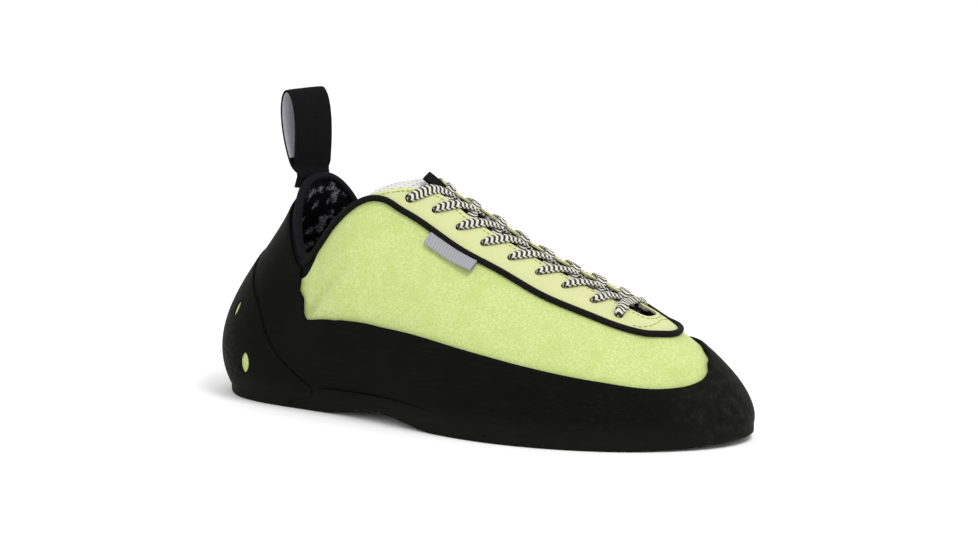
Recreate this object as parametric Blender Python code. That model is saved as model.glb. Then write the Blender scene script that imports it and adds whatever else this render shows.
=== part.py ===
"""Climbing shoe for the right foot, standing empty on its sole.

The frame is in metres: +X points at the toe, +Y at the inner (medial) side and +Z up.
The origin is the middle of the shoe's footprint box, on the floor.

One function, Last.point, gives the upper's outer face. Every shell of the shoe (upper, rand, heel cup,
tag, tongue) is cut from that face, each at its own distance from it.
"""

import math

import bmesh
import bpy
import numpy as np
from mathutils import Matrix, Vector

# Overall sizes, in metres
LENGTH = 0.262
BALL_WIDTH = 0.094
INSTEP_HEIGHT = 0.099
HEEL_HEIGHT = 0.099

# Thicknesses and clearances, in metres
GAP = 0.0003
UPPER_WALL = 0.0020
RAND_WALL = 0.0018
CUP_WALL = 0.0024
OUTSOLE_WALL = 0.0045
ARCH_LIFT = 0.0045
TOE_SPRING = 0.0035
SOLE_LIP = 0.0004

# Edges of the overlays, in metres; the rand keeps its share of the instep's height
RAND_HEIGHT = 0.4444 * INSTEP_HEIGHT
CUP_HEIGHT = 0.066
EYESTAY_WIDTH = 0.016

# Where the sole rests flat on the floor, as shares of the length
HEEL_REST_END = 0.25
BALL_REST_START = 0.52
BALL_REST_END = 0.80

# Outsole and insole, in metres
SOLE_ROUNDING = 0.0012
INSOLE_WALL = 0.003
INSOLE_CLEARANCE = 0.0004

# Rand and heel cup: the section at which the quarter ends and the rand rises to the collar, the section at
# which the cup's edge meets the sole, and the stretch strip left below the collar's edge, in metres
QUARTER_END = 9.5
CUP_END = 8.5
COLLAR_STRIP = 0.006

# Slots in the heel cup: section, share of CUP_HEIGHT, length and width in metres
CUP_SLOTS = (
    (10.64, 0.283, 0.0090, 0.0034),
    (11.39, 0.615, 0.0065, 0.0026),
)
SLOT_CUT = 2.0

# Throat: tongue, tab and the slope in radians and handle length with which they bridge it, in metres
THROAT_TOP = 8.0
TONGUE_START = 2.2
TONGUE_WALL = 0.003
TONGUE_CLEARANCE = 0.0007
TONGUE_TUCK = 0.006
TONGUE_REACH = 0.004
TONGUE_NARROWING = 0.95
TAB_SECTION = 7.40
TAB_WIDTH = 0.0080
TAB_LENGTH = 0.0095
TAB_WALL = 0.0014
TAB_LEAN = math.radians(47.0)
BRIDGE_SLOPE = math.radians(15.0)
BRIDGE_HANDLE = 0.33
TUCK_SHARES = (1.0, 0.5)

# Piping, collar binding and side tag, in metres; the ends are section numbers
PIPING_RADIUS = 0.0013
PIPING_END = 9.95
BINDING_RADIUS = 0.0016
BINDING_END = 10.05
TAG_SECTIONS = (5.35, 6.42)
TAG_WIDTH = 0.0075
TAG_WALL = 0.0009

# Pull loop, in metres: a sewn stem on the heel, and an opening that tapers down to it
LOOP_WIDTH = 0.0215
LOOP_WALL = 0.0015
LOOP_OPENING = 0.0115
LOOP_HEIGHT = 0.0343
LOOP_STEM = 0.0030
LOOP_OVERLAP = 0.0054
LOOP_TAPER = 0.35
LOOP_TURN = math.radians(12.0)

# Eyelets and lace, in metres: the sections at which some of the evenly counted eyelets lie, ankle to toe
EYELETS = 9
EYELET_PLACES = (0.0, 0.25, 0.5, 0.75, 1.0)
EYELET_SECTIONS = (7.28, 5.97, 4.88, 3.79, 2.54)
EYELET_DEPTH = 0.0072
EYELET_BORE = 0.0040
EYELET_CUT = 1.6
LACE_WIDTH = 0.0050
LACE_THICKNESS = 0.0017
LACE_LIFT = 0.0009
LACE_START = 0.0045
LACE_REACH = 0.90
LACE_SLANT = 0.60

# Fineness of the shells, the tubes and the round holes
GRID_STEPS = (3, 3, 2, 2, 2, 2, 2, 2, 2, 2, 3, 3, 3)
UPPER_ROWS = 12
RAND_ROWS = 9
CUP_ROWS = 7
TONGUE_COLUMNS = 6
TAG_COLUMNS = 6
LOOP_POINTS = 20
LACE_STEPS = 6
TUBE_RESOLUTION = 1
HOLE_SEGMENTS = 12
SHARP_ANGLE = math.radians(35.0)

# Small steps used to measure slopes of the face, in metres round it and as a share of its height
STEP_ROUND = 0.0002
STEP_UP = 0.002
WAY_DECIMALS = 7
HALVINGS = 24
PROFILE_STEPS = 61

# Sections of the last, one row for each, from the toe tip round to the back of the heel.
# foot_at and top_at are shares of the length from the heel, the outer and inner widths are shares of the
# ball width, and instep and heel are the shares of those two heights that the top edge reaches.
# rise and crown are the wall's slopes in degrees where it leaves the sole and where it meets the top edge,
# low and high are how far each slope carries, as shares of the wall's own span.
SECTION_COLUMNS = (
    "foot_at", "outer", "inner", "top_at", "top_outer", "top_inner", "instep", "heel",
    "rise", "crown", "low", "high",
)
SECTIONS = (
    (0.968, -0.150, 0.150, 0.824, -0.040, 0.040, 0.530, 0.00, 72.0, 33.0, 0.23, 0.27),
    (0.952, 0.010, 0.275, 0.820, 0.005, 0.080, 0.533, 0.00, 73.0, 34.0, 0.25, 0.27),
    (0.896, 0.185, 0.360, 0.797, 0.015, 0.100, 0.552, 0.00, 76.0, 31.0, 0.30, 0.28),
    (0.802, 0.345, 0.420, 0.740, 0.022, 0.115, 0.608, 0.00, 75.0, 16.0, 0.36, 0.30),
    (0.690, 0.440, 0.445, 0.660, 0.026, 0.108, 0.688, 0.00, 74.0, 18.0, 0.38, 0.32),
    (0.575, 0.460, 0.400, 0.570, 0.032, 0.100, 0.790, 0.00, 71.0, 24.0, 0.38, 0.33),
    (0.460, 0.415, 0.315, 0.485, 0.048, 0.105, 0.905, 0.00, 68.0, 32.0, 0.39, 0.33),
    (0.360, 0.365, 0.270, 0.415, 0.068, 0.095, 1.000, 0.00, 66.0, 36.0, 0.40, 0.33),
    (0.285, 0.337, 0.270, 0.356, 0.280, 0.260, 0.997, 0.00, 67.0, 62.0, 0.38, 0.30),
    (0.220, 0.325, 0.285, 0.279, 0.325, 0.315, 0.828, 0.00, 67.0, 76.0, 0.36, 0.30),
    (0.155, 0.315, 0.290, 0.225, 0.325, 0.310, 0.000, 0.677, 65.0, 82.0, 0.36, 0.30),
    (0.085, 0.270, 0.265, 0.191, 0.260, 0.255, 0.000, 0.83, 62.0, 80.0, 0.37, 0.30),
    (0.036, 0.150, 0.150, 0.174, 0.130, 0.130, 0.000, 0.97, 63.0, 77.0, 0.37, 0.30),
    (0.020, 0.000, 0.000, 0.170, 0.000, 0.000, 0.000, 1.00, 62.0, 75.0, 0.37, 0.30),
)

# Edges of the overlays at section numbers, which may lie between two sections. The rand and the heel cup
# reach up to shares of RAND_HEIGHT and CUP_HEIGHT, on the outer and on the inner side; the piping lies a
# share of EYESTAY_WIDTH below the throat's edge.
EDGE_COLUMNS = ("section", "rand_outer", "rand_inner", "cup", "piping")
EDGES = (
    (0.0, 0.81, 0.81, 0.00, 0.86),
    (0.5, 0.72, 0.89, 0.00, 0.76),
    (1.0, 0.65, 0.92, 0.00, 0.68),
    (1.5, 0.61, 0.93, 0.00, 0.74),
    (2.0, 0.60, 0.92, 0.00, 0.83),
    (3.0, 0.67, 0.84, 0.00, 1.10),
    (4.0, 0.77, 0.82, 0.00, 1.19),
    (5.0, 0.88, 0.87, 0.00, 1.06),
    (6.0, 0.97, 0.95, 0.00, 1.03),
    (6.5, 0.99, 0.98, 0.00, 1.10),
    (7.0, 1.01, 1.00, 0.00, 1.00),
    (7.3, 1.01, 1.00, 0.02, 0.79),
    (7.6, 1.01, 1.00, 0.06, 0.47),
    (7.85, 1.00, 1.00, 0.08, 0.18),
    (8.0, 1.00, 1.00, 0.10, 0.10),
    (9.0, 0.96, 0.96, 0.25, 0.10),
    (10.0, 0.96, 0.96, 0.42, 0.10),
    (11.0, 0.96, 0.96, 0.72, 0.10),
    (12.0, 0.96, 0.96, 0.92, 0.10),
    (13.0, 0.96, 0.96, 1.00, 0.10),
)


def periodic_spline(knots, values, period):
    """Smooth closed curve through the values at the knots, as a function of the distance round it."""
    count = len(knots)
    spans = np.diff(np.append(knots, knots[0] + period))
    system = np.zeros((count, count))
    right = np.zeros((count,) + values.shape[1:])
    for i in range(count):
        before, after = spans[i - 1], spans[i]
        following = (i + 1) % count
        system[i, i - 1] += before
        system[i, i] += 2.0 * (before + after)
        system[i, following] += after
        right[i] = 6.0 * ((values[following] - values[i]) / after - (values[i] - values[i - 1]) / before)
    bends = np.linalg.solve(system, right)

    def evaluate(at):
        at = np.mod(np.asarray(at, float) - knots[0], period) + knots[0]
        i = np.clip(np.searchsorted(knots, at, side="right") - 1, 0, count - 1)
        following = (i + 1) % count
        span = spans[i][:, None]
        ahead = ((at - knots[i])[:, None]) / span
        behind = 1.0 - ahead
        cubic = (ahead**3 - ahead) * bends[following] + (behind**3 - behind) * bends[i]
        return behind * values[i] + ahead * values[following] + cubic * span**2 / 6.0

    return evaluate


def steady_curve(knots, values, at):
    """Smooth curve through the values at the knots that never leaves the range of two neighbours."""
    spans = np.diff(knots)
    slopes = np.diff(values) / spans
    tangents = np.zeros(len(values))
    same_way = slopes[:-1] * slopes[1:] > 0.0
    products = 2.0 * slopes[:-1] * slopes[1:]
    sums = np.where(same_way, slopes[:-1] + slopes[1:], 1.0)
    tangents[1:-1] = np.where(same_way, products / sums, 0.0)
    i = np.clip(np.searchsorted(knots, at, side="right") - 1, 0, len(spans) - 1)
    share = np.clip((at - knots[i]) / spans[i], 0.0, 1.0)
    rest = 1.0 - share
    start = values[i] * (1.0 + 2.0 * share) * rest**2 + tangents[i] * spans[i] * share * rest**2
    end = values[i + 1] * (3.0 - 2.0 * share) * share**2 - tangents[i + 1] * spans[i] * share**2 * rest
    return start + end


def sole_bottom(x):
    """Height of the sole's underside: flat heel and ball, a low arch and a little toe spring."""
    share = np.asarray(x, float) / LENGTH
    arch = np.clip((share - HEEL_REST_END) / (BALL_REST_START - HEEL_REST_END), 0.0, 1.0)
    toe = np.clip((share - BALL_REST_END) / (1.0 - BALL_REST_END), 0.0, None)
    return ARCH_LIFT * np.sin(math.pi * arch) ** 2 + TOE_SPRING * toe**2


class Last:
    """The form that the shoe is built over: the outer face of its upper."""

    def __init__(self):
        rows = [dict(zip(SECTION_COLUMNS, row)) for row in SECTIONS]
        self.rows = len(rows)
        nodes = [self.node(row, "outer", -1.0) for row in rows]
        nodes += [self.node(row, "inner", 1.0) for row in rows[-2:0:-1]]
        nodes = np.array(nodes)
        middle = (nodes[:, 0:2] + nodes[:, 2:4]) / 2.0
        steps = np.linalg.norm(np.roll(middle, -1, axis=0) - middle, axis=1)
        self.knots = np.append(0.0, np.cumsum(steps))
        self.round = self.knots[-1]
        self.curve = periodic_spline(self.knots[:-1], nodes, self.round)

    @staticmethod
    def node(row, side, sign):
        """Foot point on the plan, top point and slopes of one section on one side."""
        top_z = row["instep"] * INSTEP_HEIGHT + row["heel"] * HEEL_HEIGHT
        return (
            row["foot_at"] * LENGTH, sign * row[side] * BALL_WIDTH,
            row["top_at"] * LENGTH, sign * row["top_" + side] * BALL_WIDTH, top_z,
            math.radians(row["rise"]), math.radians(row["crown"]), row["low"], row["high"],
        )

    def way(self, station, side):
        """Distance round the last of a section number on a side, which may lie between two rows."""
        place = station if side == "outer" else 2.0 * (self.rows - 1) - station
        return np.interp(place, np.arange(len(self.knots)), self.knots)

    def face(self, way, share):
        """Points of the upper's outer face at a distance round it and a share from sole to edge."""
        way, share = np.broadcast_arrays(np.atleast_1d(way).astype(float), share)
        shape = way.shape
        way, share = way.ravel(), share.ravel().astype(float)[:, None]
        node = self.curve(way)
        step = self.curve(way + STEP_ROUND)[:, 0:2] - self.curve(way - STEP_ROUND)[:, 0:2]
        outward = np.stack((-step[:, 1], step[:, 0]), axis=1)
        outward /= np.linalg.norm(outward, axis=1)[:, None]
        foot_z = sole_bottom(node[:, 0:1]) + OUTSOLE_WALL + GAP
        foot, top = np.hstack((node[:, 0:2], foot_z)), node[:, 2:5]
        rise, crown = node[:, 5:6], node[:, 6:7]
        span = np.linalg.norm(top - foot, axis=1)[:, None]
        low = foot + span * node[:, 7:8] * np.hstack((np.cos(rise) * outward, np.sin(rise)))
        high = top + span * node[:, 8:9] * np.hstack((np.cos(crown) * outward, -np.sin(crown)))
        rest = 1.0 - share
        point = rest**3 * foot + 3 * rest**2 * share * low + 3 * rest * share**2 * high + share**3 * top
        return point.reshape(shape + (3,))

    def normal(self, way, share):
        """Unit normals of the face, pointing out of the shoe."""
        way, share = np.broadcast_arrays(np.atleast_1d(way).astype(float), share)
        along = self.face(way + STEP_ROUND, share) - self.face(way - STEP_ROUND, share)
        upward = self.face(way, share + STEP_UP) - self.face(way, share - STEP_UP)
        normal = np.cross(upward, along)
        return normal / np.linalg.norm(normal, axis=-1)[..., None]

    def point(self, way, share, lift=0.0):
        """Points at a distance outside the face."""
        return self.face(way, share) + lift * self.normal(way, share)

    def edge(self, column, way):
        """Value of a column of EDGES at distances round the last, as a smooth line without overshoot."""
        one_for_both = column in EDGE_COLUMNS
        outer_name, inner_name = (column, column) if one_for_both else (column + "_outer", column + "_inner")
        outer_ways = [self.way(row[0], "outer") for row in EDGES]
        inner_ways = [self.way(row[0], "inner") for row in reversed(EDGES)]
        outer = [row[EDGE_COLUMNS.index(outer_name)] for row in EDGES]
        inner = [row[EDGE_COLUMNS.index(inner_name)] for row in reversed(EDGES)]
        return steady_curve(np.array(outer_ways + inner_ways[1:]), np.array(outer + inner[1:]), way)

    def share_at_height(self, way, height, lift=0.0):
        """Share of the way up at which the face, lifted off by a distance, reaches a height."""
        low, high = np.full(len(way), -0.1), np.ones(len(way))
        for _ in range(HALVINGS):
            middle = (low + high) / 2.0
            above = self.point(way, middle, lift)[:, 2] > height
            high = np.where(above, middle, high)
            low = np.where(above, low, middle)
        return (low + high) / 2.0

    def share_below_edge(self, way, distance):
        """Share of the way up the face at a distance measured down its profile from the top edge."""
        shares = np.linspace(0.0, 1.0, PROFILE_STEPS)
        result = []
        for one, down in zip(way, np.broadcast_to(distance, len(way))):
            profile = self.face(np.full(PROFILE_STEPS, one), shares)
            lengths = np.linalg.norm(np.diff(profile, axis=0), axis=1)
            below = np.append(np.cumsum(lengths[::-1])[::-1], 0.0)
            result.append(np.interp(-down, -below, shares))
        return np.array(result)

    def along_edge(self, way, below, lift):
        """Points at a distance down the face from the top edge and at a distance outside the face."""
        way = np.atleast_1d(way).astype(float)
        return self.point(way, self.share_below_edge(way, below), lift)

    def edge_up(self, way):
        """Unit directions in which the face runs on past the top edge, square to that edge."""
        along = self.face(way + STEP_ROUND, 1.0) - self.face(way - STEP_ROUND, 1.0)
        upward = np.cross(along, self.normal(way, 1.0))
        return upward / np.linalg.norm(upward, axis=1)[:, None]

    def bridge(self, section_outer, section_inner, share, lift):
        """Points over the throat, from its outer edge at one section to its inner edge at another."""
        outer = self.point(self.way(section_outer, "outer"), 1.0, lift)[0]
        inner = self.point(self.way(section_inner, "inner"), 1.0, lift)[0]
        across = inner - outer
        width = np.linalg.norm(across)
        rise = np.array([0.0, 0.0, width * BRIDGE_HANDLE * math.sin(BRIDGE_SLOPE)])
        reach = across * BRIDGE_HANDLE * math.cos(BRIDGE_SLOPE)
        share = np.atleast_1d(share).astype(float)[:, None]
        rest = 1.0 - share
        middle = 3 * rest**2 * share * (outer + reach + rise) + 3 * rest * share**2 * (inner - reach + rise)
        return rest**3 * outer + middle + share**3 * inner

    def over_throat(self, sections, tuck, shares, lift):
        """Points from one eyestay to the other: down both faces by tuck, and over the throat."""
        outer_section, inner_section = sections
        outer_way = np.full(len(TUCK_SHARES), self.way(outer_section, "outer"))
        inner_way = np.full(len(TUCK_SHARES), self.way(inner_section, "inner"))
        tucks = np.array(TUCK_SHARES) * tuck
        return np.concatenate((
            self.along_edge(outer_way, tucks, lift),
            self.bridge(outer_section, inner_section, shares, lift),
            self.along_edge(inner_way, tucks, lift)[::-1],
        ))


def clear_scene():
    """Remove what the scene holds, with the collections of an earlier run."""
    for old in list(bpy.data.objects):
        bpy.data.objects.remove(old, do_unlink=True)
    for old in list(bpy.data.collections):
        bpy.data.collections.remove(old)


def new_collection(name):
    """Collection of a name, linked to the scene."""
    made = bpy.data.collections.new(name)
    bpy.context.scene.collection.children.link(made)
    return made


def new_material(name, colour, roughness):
    """Principled material of a linear colour."""
    made = bpy.data.materials.new(name)
    made.use_nodes = True
    shader = made.node_tree.nodes["Principled BSDF"]
    shader.inputs["Base Color"].default_value = (*colour, 1.0)
    shader.inputs["Roughness"].default_value = roughness
    shader.inputs["Metallic"].default_value = 0.0
    return made


def new_object(name, work, material, collection):
    """Named object from a bmesh, which is freed, with its faces turned outward and shaded smooth."""
    bmesh.ops.recalc_face_normals(work, faces=work.faces)
    mesh = bpy.data.meshes.new(name)
    work.to_mesh(mesh)
    work.free()
    mesh.shade_smooth()
    mesh.set_sharp_from_angle(angle=SHARP_ANGLE)
    if material:
        mesh.materials.append(material)
    made = bpy.data.objects.new(name, mesh)
    collection.objects.link(made)
    return made


def add_grid(work, grid, closed):
    """Vertices of a grid of points with quads between them; a closed grid joins its last row to its first."""
    verts = [[work.verts.new(point) for point in row] for row in grid]
    count = len(verts)
    for i in range(count if closed else count - 1):
        row, following = verts[i], verts[(i + 1) % count]
        for j in range(len(row) - 1):
            work.faces.new((row[j], row[j + 1], following[j + 1], following[j]))
    return verts


def add_rim(work, one, other, closed):
    """Quads between two runs of vertices of the same length."""
    count = len(one)
    for i in range(count if closed else count - 1):
        following = (i + 1) % count
        work.faces.new((one[i], one[following], other[following], other[i]))


def layer(near, far, closed=False):
    """Closed shell between two grids of points of the same size, such as two offsets of one face."""
    work = bmesh.new()
    near_verts = add_grid(work, near, closed)
    far_verts = add_grid(work, far, closed)
    add_rim(work, [row[0] for row in near_verts], [row[0] for row in far_verts], closed)
    add_rim(work, [row[-1] for row in near_verts], [row[-1] for row in far_verts], closed)
    if not closed:
        add_rim(work, near_verts[0], far_verts[0], False)
        add_rim(work, near_verts[-1], far_verts[-1], False)
    return work


def band(last, ways, low, high, rows, lifts):
    """Two grids of points on the last between two runs of shares, one at each lift."""
    fractions = np.linspace(0.0, 1.0, rows + 1)
    grids = []
    for lift, low_here in zip(lifts, low):
        shares = low_here[:, None] + (high - low_here)[:, None] * fractions
        grids.append(last.point(np.broadcast_to(ways[:, None], shares.shape), shares, lift))
    return grids


def new_tube(name, points, radius, closed, material, collection):
    """Round tube through points."""
    curve = bpy.data.curves.new(name, "CURVE")
    curve.dimensions = "3D"
    curve.bevel_depth = radius
    curve.bevel_resolution = TUBE_RESOLUTION
    curve.use_fill_caps = not closed
    spline = curve.splines.new("POLY")
    spline.points.add(len(points) - 1)
    for place, point in zip(spline.points, points):
        place.co = (*point, 1.0)
    spline.use_cyclic_u = closed
    curve.materials.append(material)
    made = bpy.data.objects.new(name, curve)
    collection.objects.link(made)
    return made


def grid_sections():
    """Section numbers of the columns that all shells share, from the toe to the heel on one side."""
    sections = [section + step / steps for section, steps in enumerate(GRID_STEPS) for step in range(steps)]
    return sections + [float(len(GRID_STEPS))]


def grid_ways(last):
    """Distances round the last of the shared columns, by the outer side to the heel and back."""
    sections = grid_sections()
    outer = [last.way(section, "outer") for section in sections]
    inner = [last.way(section, "inner") for section in reversed(sections[1:-1])]
    return np.round(outer + inner, WAY_DECIMALS)


def sole_ring(last, ways, outset, height):
    """Points round the foot of the last, outset from it, at a height above the sole's underside."""
    foot = last.face(ways, 0.0)
    step = last.face(ways + STEP_ROUND, 0.0) - last.face(ways - STEP_ROUND, 0.0)
    outward = np.stack((-step[:, 1], step[:, 0]), axis=1)
    outward /= np.linalg.norm(outward, axis=1)[:, None]
    ring = foot.copy()
    ring[:, 0:2] += outward * outset
    ring[:, 2] = sole_bottom(foot[:, 0]) + height
    return ring


def plate(rings):
    """Closed plate with a stack of rings for its side, filled across from its outer to its inner side."""
    work = bmesh.new()
    verts = [[work.verts.new(point) for point in ring] for ring in rings]
    for lower, upper in zip(verts, verts[1:]):
        add_rim(work, lower, upper, True)
    for ring in (verts[0], verts[-1]):
        half = len(ring) // 2
        for i in range(half):
            corners = [ring[i], ring[i + 1], ring[-i - 1], ring[-i]]
            work.faces.new(list(dict.fromkeys(corners)))
    return work


def make_outsole(last, ways, material, collection):
    """Rubber plate with a rounded lower edge, as wide as the rand above it."""
    outset = GAP + RAND_WALL + SOLE_LIP
    rings = [
        sole_ring(last, ways, outset - SOLE_ROUNDING, 0.0),
        sole_ring(last, ways, outset, SOLE_ROUNDING),
        sole_ring(last, ways, outset, OUTSOLE_WALL),
    ]
    return new_object("outsole", plate(rings), material, collection)


def make_insole(last, ways, material, collection):
    """Thin board on the outsole, inside the upper."""
    top = OUTSOLE_WALL + GAP + INSOLE_WALL
    rings = [
        sole_ring(last, ways, -UPPER_WALL - INSOLE_CLEARANCE, OUTSOLE_WALL + GAP),
        sole_ring(last, ways, -UPPER_WALL - INSOLE_CLEARANCE, top),
    ]
    return new_object("insole", plate(rings), material, collection)


def rand_limits(last, ways):
    """Shares of the face at which the rand starts, for its two faces, and at which it ends."""
    from_toe = np.minimum(ways, last.round - ways)
    quarter_end = last.way(QUARTER_END, "outer") + STEP_ROUND / 2.0
    cup_end = last.way(CUP_END, "outer") + STEP_ROUND / 2.0
    foot = last.face(ways, 0.0)[:, 2]
    top = last.share_at_height(ways, last.edge("rand", ways) * RAND_HEIGHT, GAP + RAND_WALL)
    strip = last.share_below_edge(ways, COLLAR_STRIP)
    top = np.where(from_toe > quarter_end, strip, top)
    over_cup = last.share_at_height(ways, last.edge("cup", ways) * CUP_HEIGHT + GAP, GAP)
    low = [
        np.where(from_toe > cup_end, over_cup, last.share_at_height(ways, foot, lift))
        for lift in (GAP, GAP + RAND_WALL)
    ]
    return low, top


def step_ways(last, ways, sections):
    """The columns, with a close pair more at each section, on both sides, where an edge steps."""
    extra = []
    for section in sections:
        outer = float(last.way(section, "outer"))
        extra += [outer, outer + STEP_ROUND, last.round - outer, last.round - outer - STEP_ROUND]
    return np.unique(np.round(np.concatenate((ways, extra)), WAY_DECIMALS))


def make_rand(last, ways, material, collection):
    """Rubber band round the whole shoe, which rises to the collar over the heel cup."""
    ways = step_ways(last, ways, (QUARTER_END, CUP_END))
    low, high = rand_limits(last, ways)
    near, far = band(last, ways, low, high, RAND_ROWS, (GAP, GAP + RAND_WALL))
    return new_object("rand", layer(near, far, closed=True), material, collection)


def make_heel_cup(last, ways, material, collection):
    """Thick moulded cup round the back of the heel."""
    start = float(last.way(CUP_END, "outer")) + 2.0 * STEP_ROUND
    ways = np.concatenate(([start], ways[(ways > start) & (ways < last.round - start)], [last.round - start]))
    foot = last.face(ways, 0.0)[:, 2]
    lifts = (GAP, GAP + CUP_WALL)
    high = last.share_at_height(ways, last.edge("cup", ways) * CUP_HEIGHT, GAP)
    low = [last.share_at_height(ways, foot, lift) for lift in lifts]
    near, far = band(last, ways, low, high, CUP_ROWS, lifts)
    return new_object("heel_cup", layer(near, far), material, collection)


def turned_to(normal, along):
    """Rotation whose Z is a normal and whose X lies as near as it can to another direction."""
    z_axis = Vector(normal).normalized()
    y_axis = z_axis.cross(Vector(along)).normalized()
    x_axis = y_axis.cross(z_axis)
    return Matrix((x_axis, y_axis, z_axis)).transposed()


def cut(target, cutters_collection):
    """Cut all objects of a collection from an object."""
    modifier = target.modifiers.new("cut", "BOOLEAN")
    modifier.operation = "DIFFERENCE"
    modifier.solver = "EXACT"
    modifier.operand_type = "COLLECTION"
    modifier.collection = cutters_collection


def add_cutter(name, work, collection):
    """Hidden object that a modifier of another piece uses."""
    made = new_object(name, work, None, collection)
    made.hide_render = True
    made.display_type = "WIRE"
    return made


def rounded_bar(length, width, depth):
    """Bar with half-round ends along X, centred, and a depth along Z."""
    work = bmesh.new()
    outline = []
    for end in (1.0, -1.0):
        for i in range(HOLE_SEGMENTS // 2 + 1):
            angle = math.pi * (i / (HOLE_SEGMENTS // 2) - 0.5)
            reach = (length - width) / 2.0 + width / 2.0 * math.cos(angle)
            outline.append(work.verts.new((end * reach, end * width / 2.0 * math.sin(angle), -depth / 2.0)))
    grown = bmesh.ops.extrude_face_region(work, geom=[work.faces.new(outline)])
    top = [item for item in grown["geom"] if isinstance(item, bmesh.types.BMVert)]
    bmesh.ops.translate(work, verts=top, vec=(0.0, 0.0, depth))
    return work


def make_slot_cutters(last, collection):
    """Cutters of the slots in the heel cup, upright along the wall and square to it."""
    for number, (section, height_share, length, width) in enumerate(CUP_SLOTS):
        for side in ("outer", "inner"):
            way = np.array([last.way(section, side)])
            share = last.share_at_height(way, np.array([height_share * CUP_HEIGHT]))
            centre = Vector(last.point(way, share, GAP + CUP_WALL / 2.0)[0])
            normal = last.normal(way, share)[0]
            along = (last.face(way, share + STEP_UP) - last.face(way, share))[0]
            work = rounded_bar(length, width, SLOT_CUT * CUP_WALL)
            work.transform(Matrix.Translation(centre) @ turned_to(normal, along).to_4x4())
            add_cutter(f"slot_{side}_{number + 1}", work, collection)


def eyelet_sections():
    """Sections at which the eyelets lie, from the ankle to the toe."""
    return [np.interp(i / (EYELETS - 1), EYELET_PLACES, EYELET_SECTIONS) for i in range(EYELETS)]


def make_eyelet_cutters(last, collection):
    """Cutters of the eyelets on both sides of the throat, square to the wall."""
    for number, section in enumerate(eyelet_sections()):
        for side in ("outer", "inner"):
            way = np.array([last.way(section, side)])
            share = last.share_below_edge(way, EYELET_DEPTH)
            normal = last.normal(way, share)[0]
            centre = Vector(last.point(way, share, -UPPER_WALL / 2.0)[0])
            work = bmesh.new()
            bmesh.ops.create_cone(work, cap_ends=True, segments=HOLE_SEGMENTS, radius1=EYELET_BORE / 2.0,
                                  radius2=EYELET_BORE / 2.0, depth=EYELET_CUT * UPPER_WALL)
            work.transform(Matrix.Translation(centre) @ turned_to(normal, (1.0, 0.0, 0.0)).to_4x4())
            add_cutter(f"eyelet_{side}_{number + 1}", work, collection)


def make_upper(last, ways, material, collection):
    """Wall of the shoe from the sole to the edge of the throat and the collar."""
    full = np.ones(len(ways))
    low = [np.zeros(len(ways)), np.zeros(len(ways))]
    near, far = band(last, ways, low, full, UPPER_ROWS, (0.0, -UPPER_WALL))
    return new_object("upper", layer(near, far, closed=True), material, collection)


def make_tongue(last, material, collection):
    """Padded tongue: under both eyestays, bridging the throat, and a little past its top end."""
    shared = [section for section in grid_sections() if TONGUE_START < section <= THROAT_TOP]
    sections = [TONGUE_START] + shared
    shares = np.linspace(0.0, 1.0, TONGUE_COLUMNS)
    grids = []
    for lift in (-UPPER_WALL - TONGUE_CLEARANCE, -UPPER_WALL - TONGUE_CLEARANCE - TONGUE_WALL):
        rows = [last.over_throat((section, section), TONGUE_TUCK, shares, lift) for section in sections]
        rows.append(rows[-1] * (1.0, TONGUE_NARROWING, 1.0) - (TONGUE_REACH, 0.0, 0.0))
        grids.append(rows)
    return new_object("tongue", layer(*grids), material, collection)


def make_tongue_tab(last, material, collection):
    """Webbing tab on the tongue's middle, leaning back."""
    base = last.bridge(TAB_SECTION, TAB_SECTION, 0.5, -UPPER_WALL - TONGUE_CLEARANCE)[0]
    base[2] += GAP + TAB_WALL / 2.0 * math.sin(TAB_LEAN)
    work = bmesh.new()
    bmesh.ops.create_cube(work, size=1.0, matrix=Matrix.Diagonal((TAB_WALL, TAB_WIDTH, TAB_LENGTH, 1.0)))
    work.transform(Matrix.Translation((0.0, 0.0, TAB_LENGTH / 2.0)))
    made = new_object("tongue_tab", work, material, collection)
    made.location = base
    made.rotation_euler = (0.0, -TAB_LEAN, 0.0)
    return made


def make_piping(last, ways, material, collection):
    """Round piping: up the collar, down the eyestay's border, round the vamp and back on the other side."""
    end = float(last.way(PIPING_END, "outer"))
    front = np.concatenate((ways[ways > last.round - end] - last.round, ways[ways < end]))
    ways = np.mod(np.concatenate(([-end], front, [end])), last.round)
    below = last.edge("piping", ways) * EYESTAY_WIDTH
    points = last.along_edge(ways, below, GAP + PIPING_RADIUS)
    return new_tube("piping", points, PIPING_RADIUS, False, material, collection)


def make_collar_binding(last, ways, material, collection):
    """Bound edge on the rim of the wall, round the heel side of the collar."""
    end = float(last.way(BINDING_END, "outer"))
    ways = ways[(ways > end) & (ways < last.round - end)]
    points = last.point(ways, 1.0, -BINDING_RADIUS) + (GAP + BINDING_RADIUS) * last.edge_up(ways)
    return new_tube("collar_binding", points, BINDING_RADIUS, False, material, collection)


def loop_section(margin):
    """Outline in the loop's own plane, ahead and up, of the loop's opening grown by a margin."""
    points = []
    for i in range(LOOP_POINTS):
        angle = 2.0 * math.pi * i / LOOP_POINTS
        share = (1.0 - math.cos(angle)) / 2.0
        middle = LOOP_OPENING / 2.0 * share**LOOP_TAPER
        ahead = LOOP_WALL - middle - math.sin(angle) * (middle + margin)
        points.append((ahead, LOOP_STEM + LOOP_HEIGHT * share - math.cos(angle) * margin))
    return points


def loop_run(work, outline, turns, side):
    """Vertices of one edge of the webbing, turned about the upright axis by an angle at each."""
    run = []
    for (ahead, up), turn in zip(outline, turns):
        width = side * LOOP_WIDTH / 2.0
        forward = ahead * math.cos(turn) + width * math.sin(turn)
        inward = width * math.cos(turn) - ahead * math.sin(turn)
        run.append(work.verts.new((forward, inward, up)))
    return run


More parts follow.
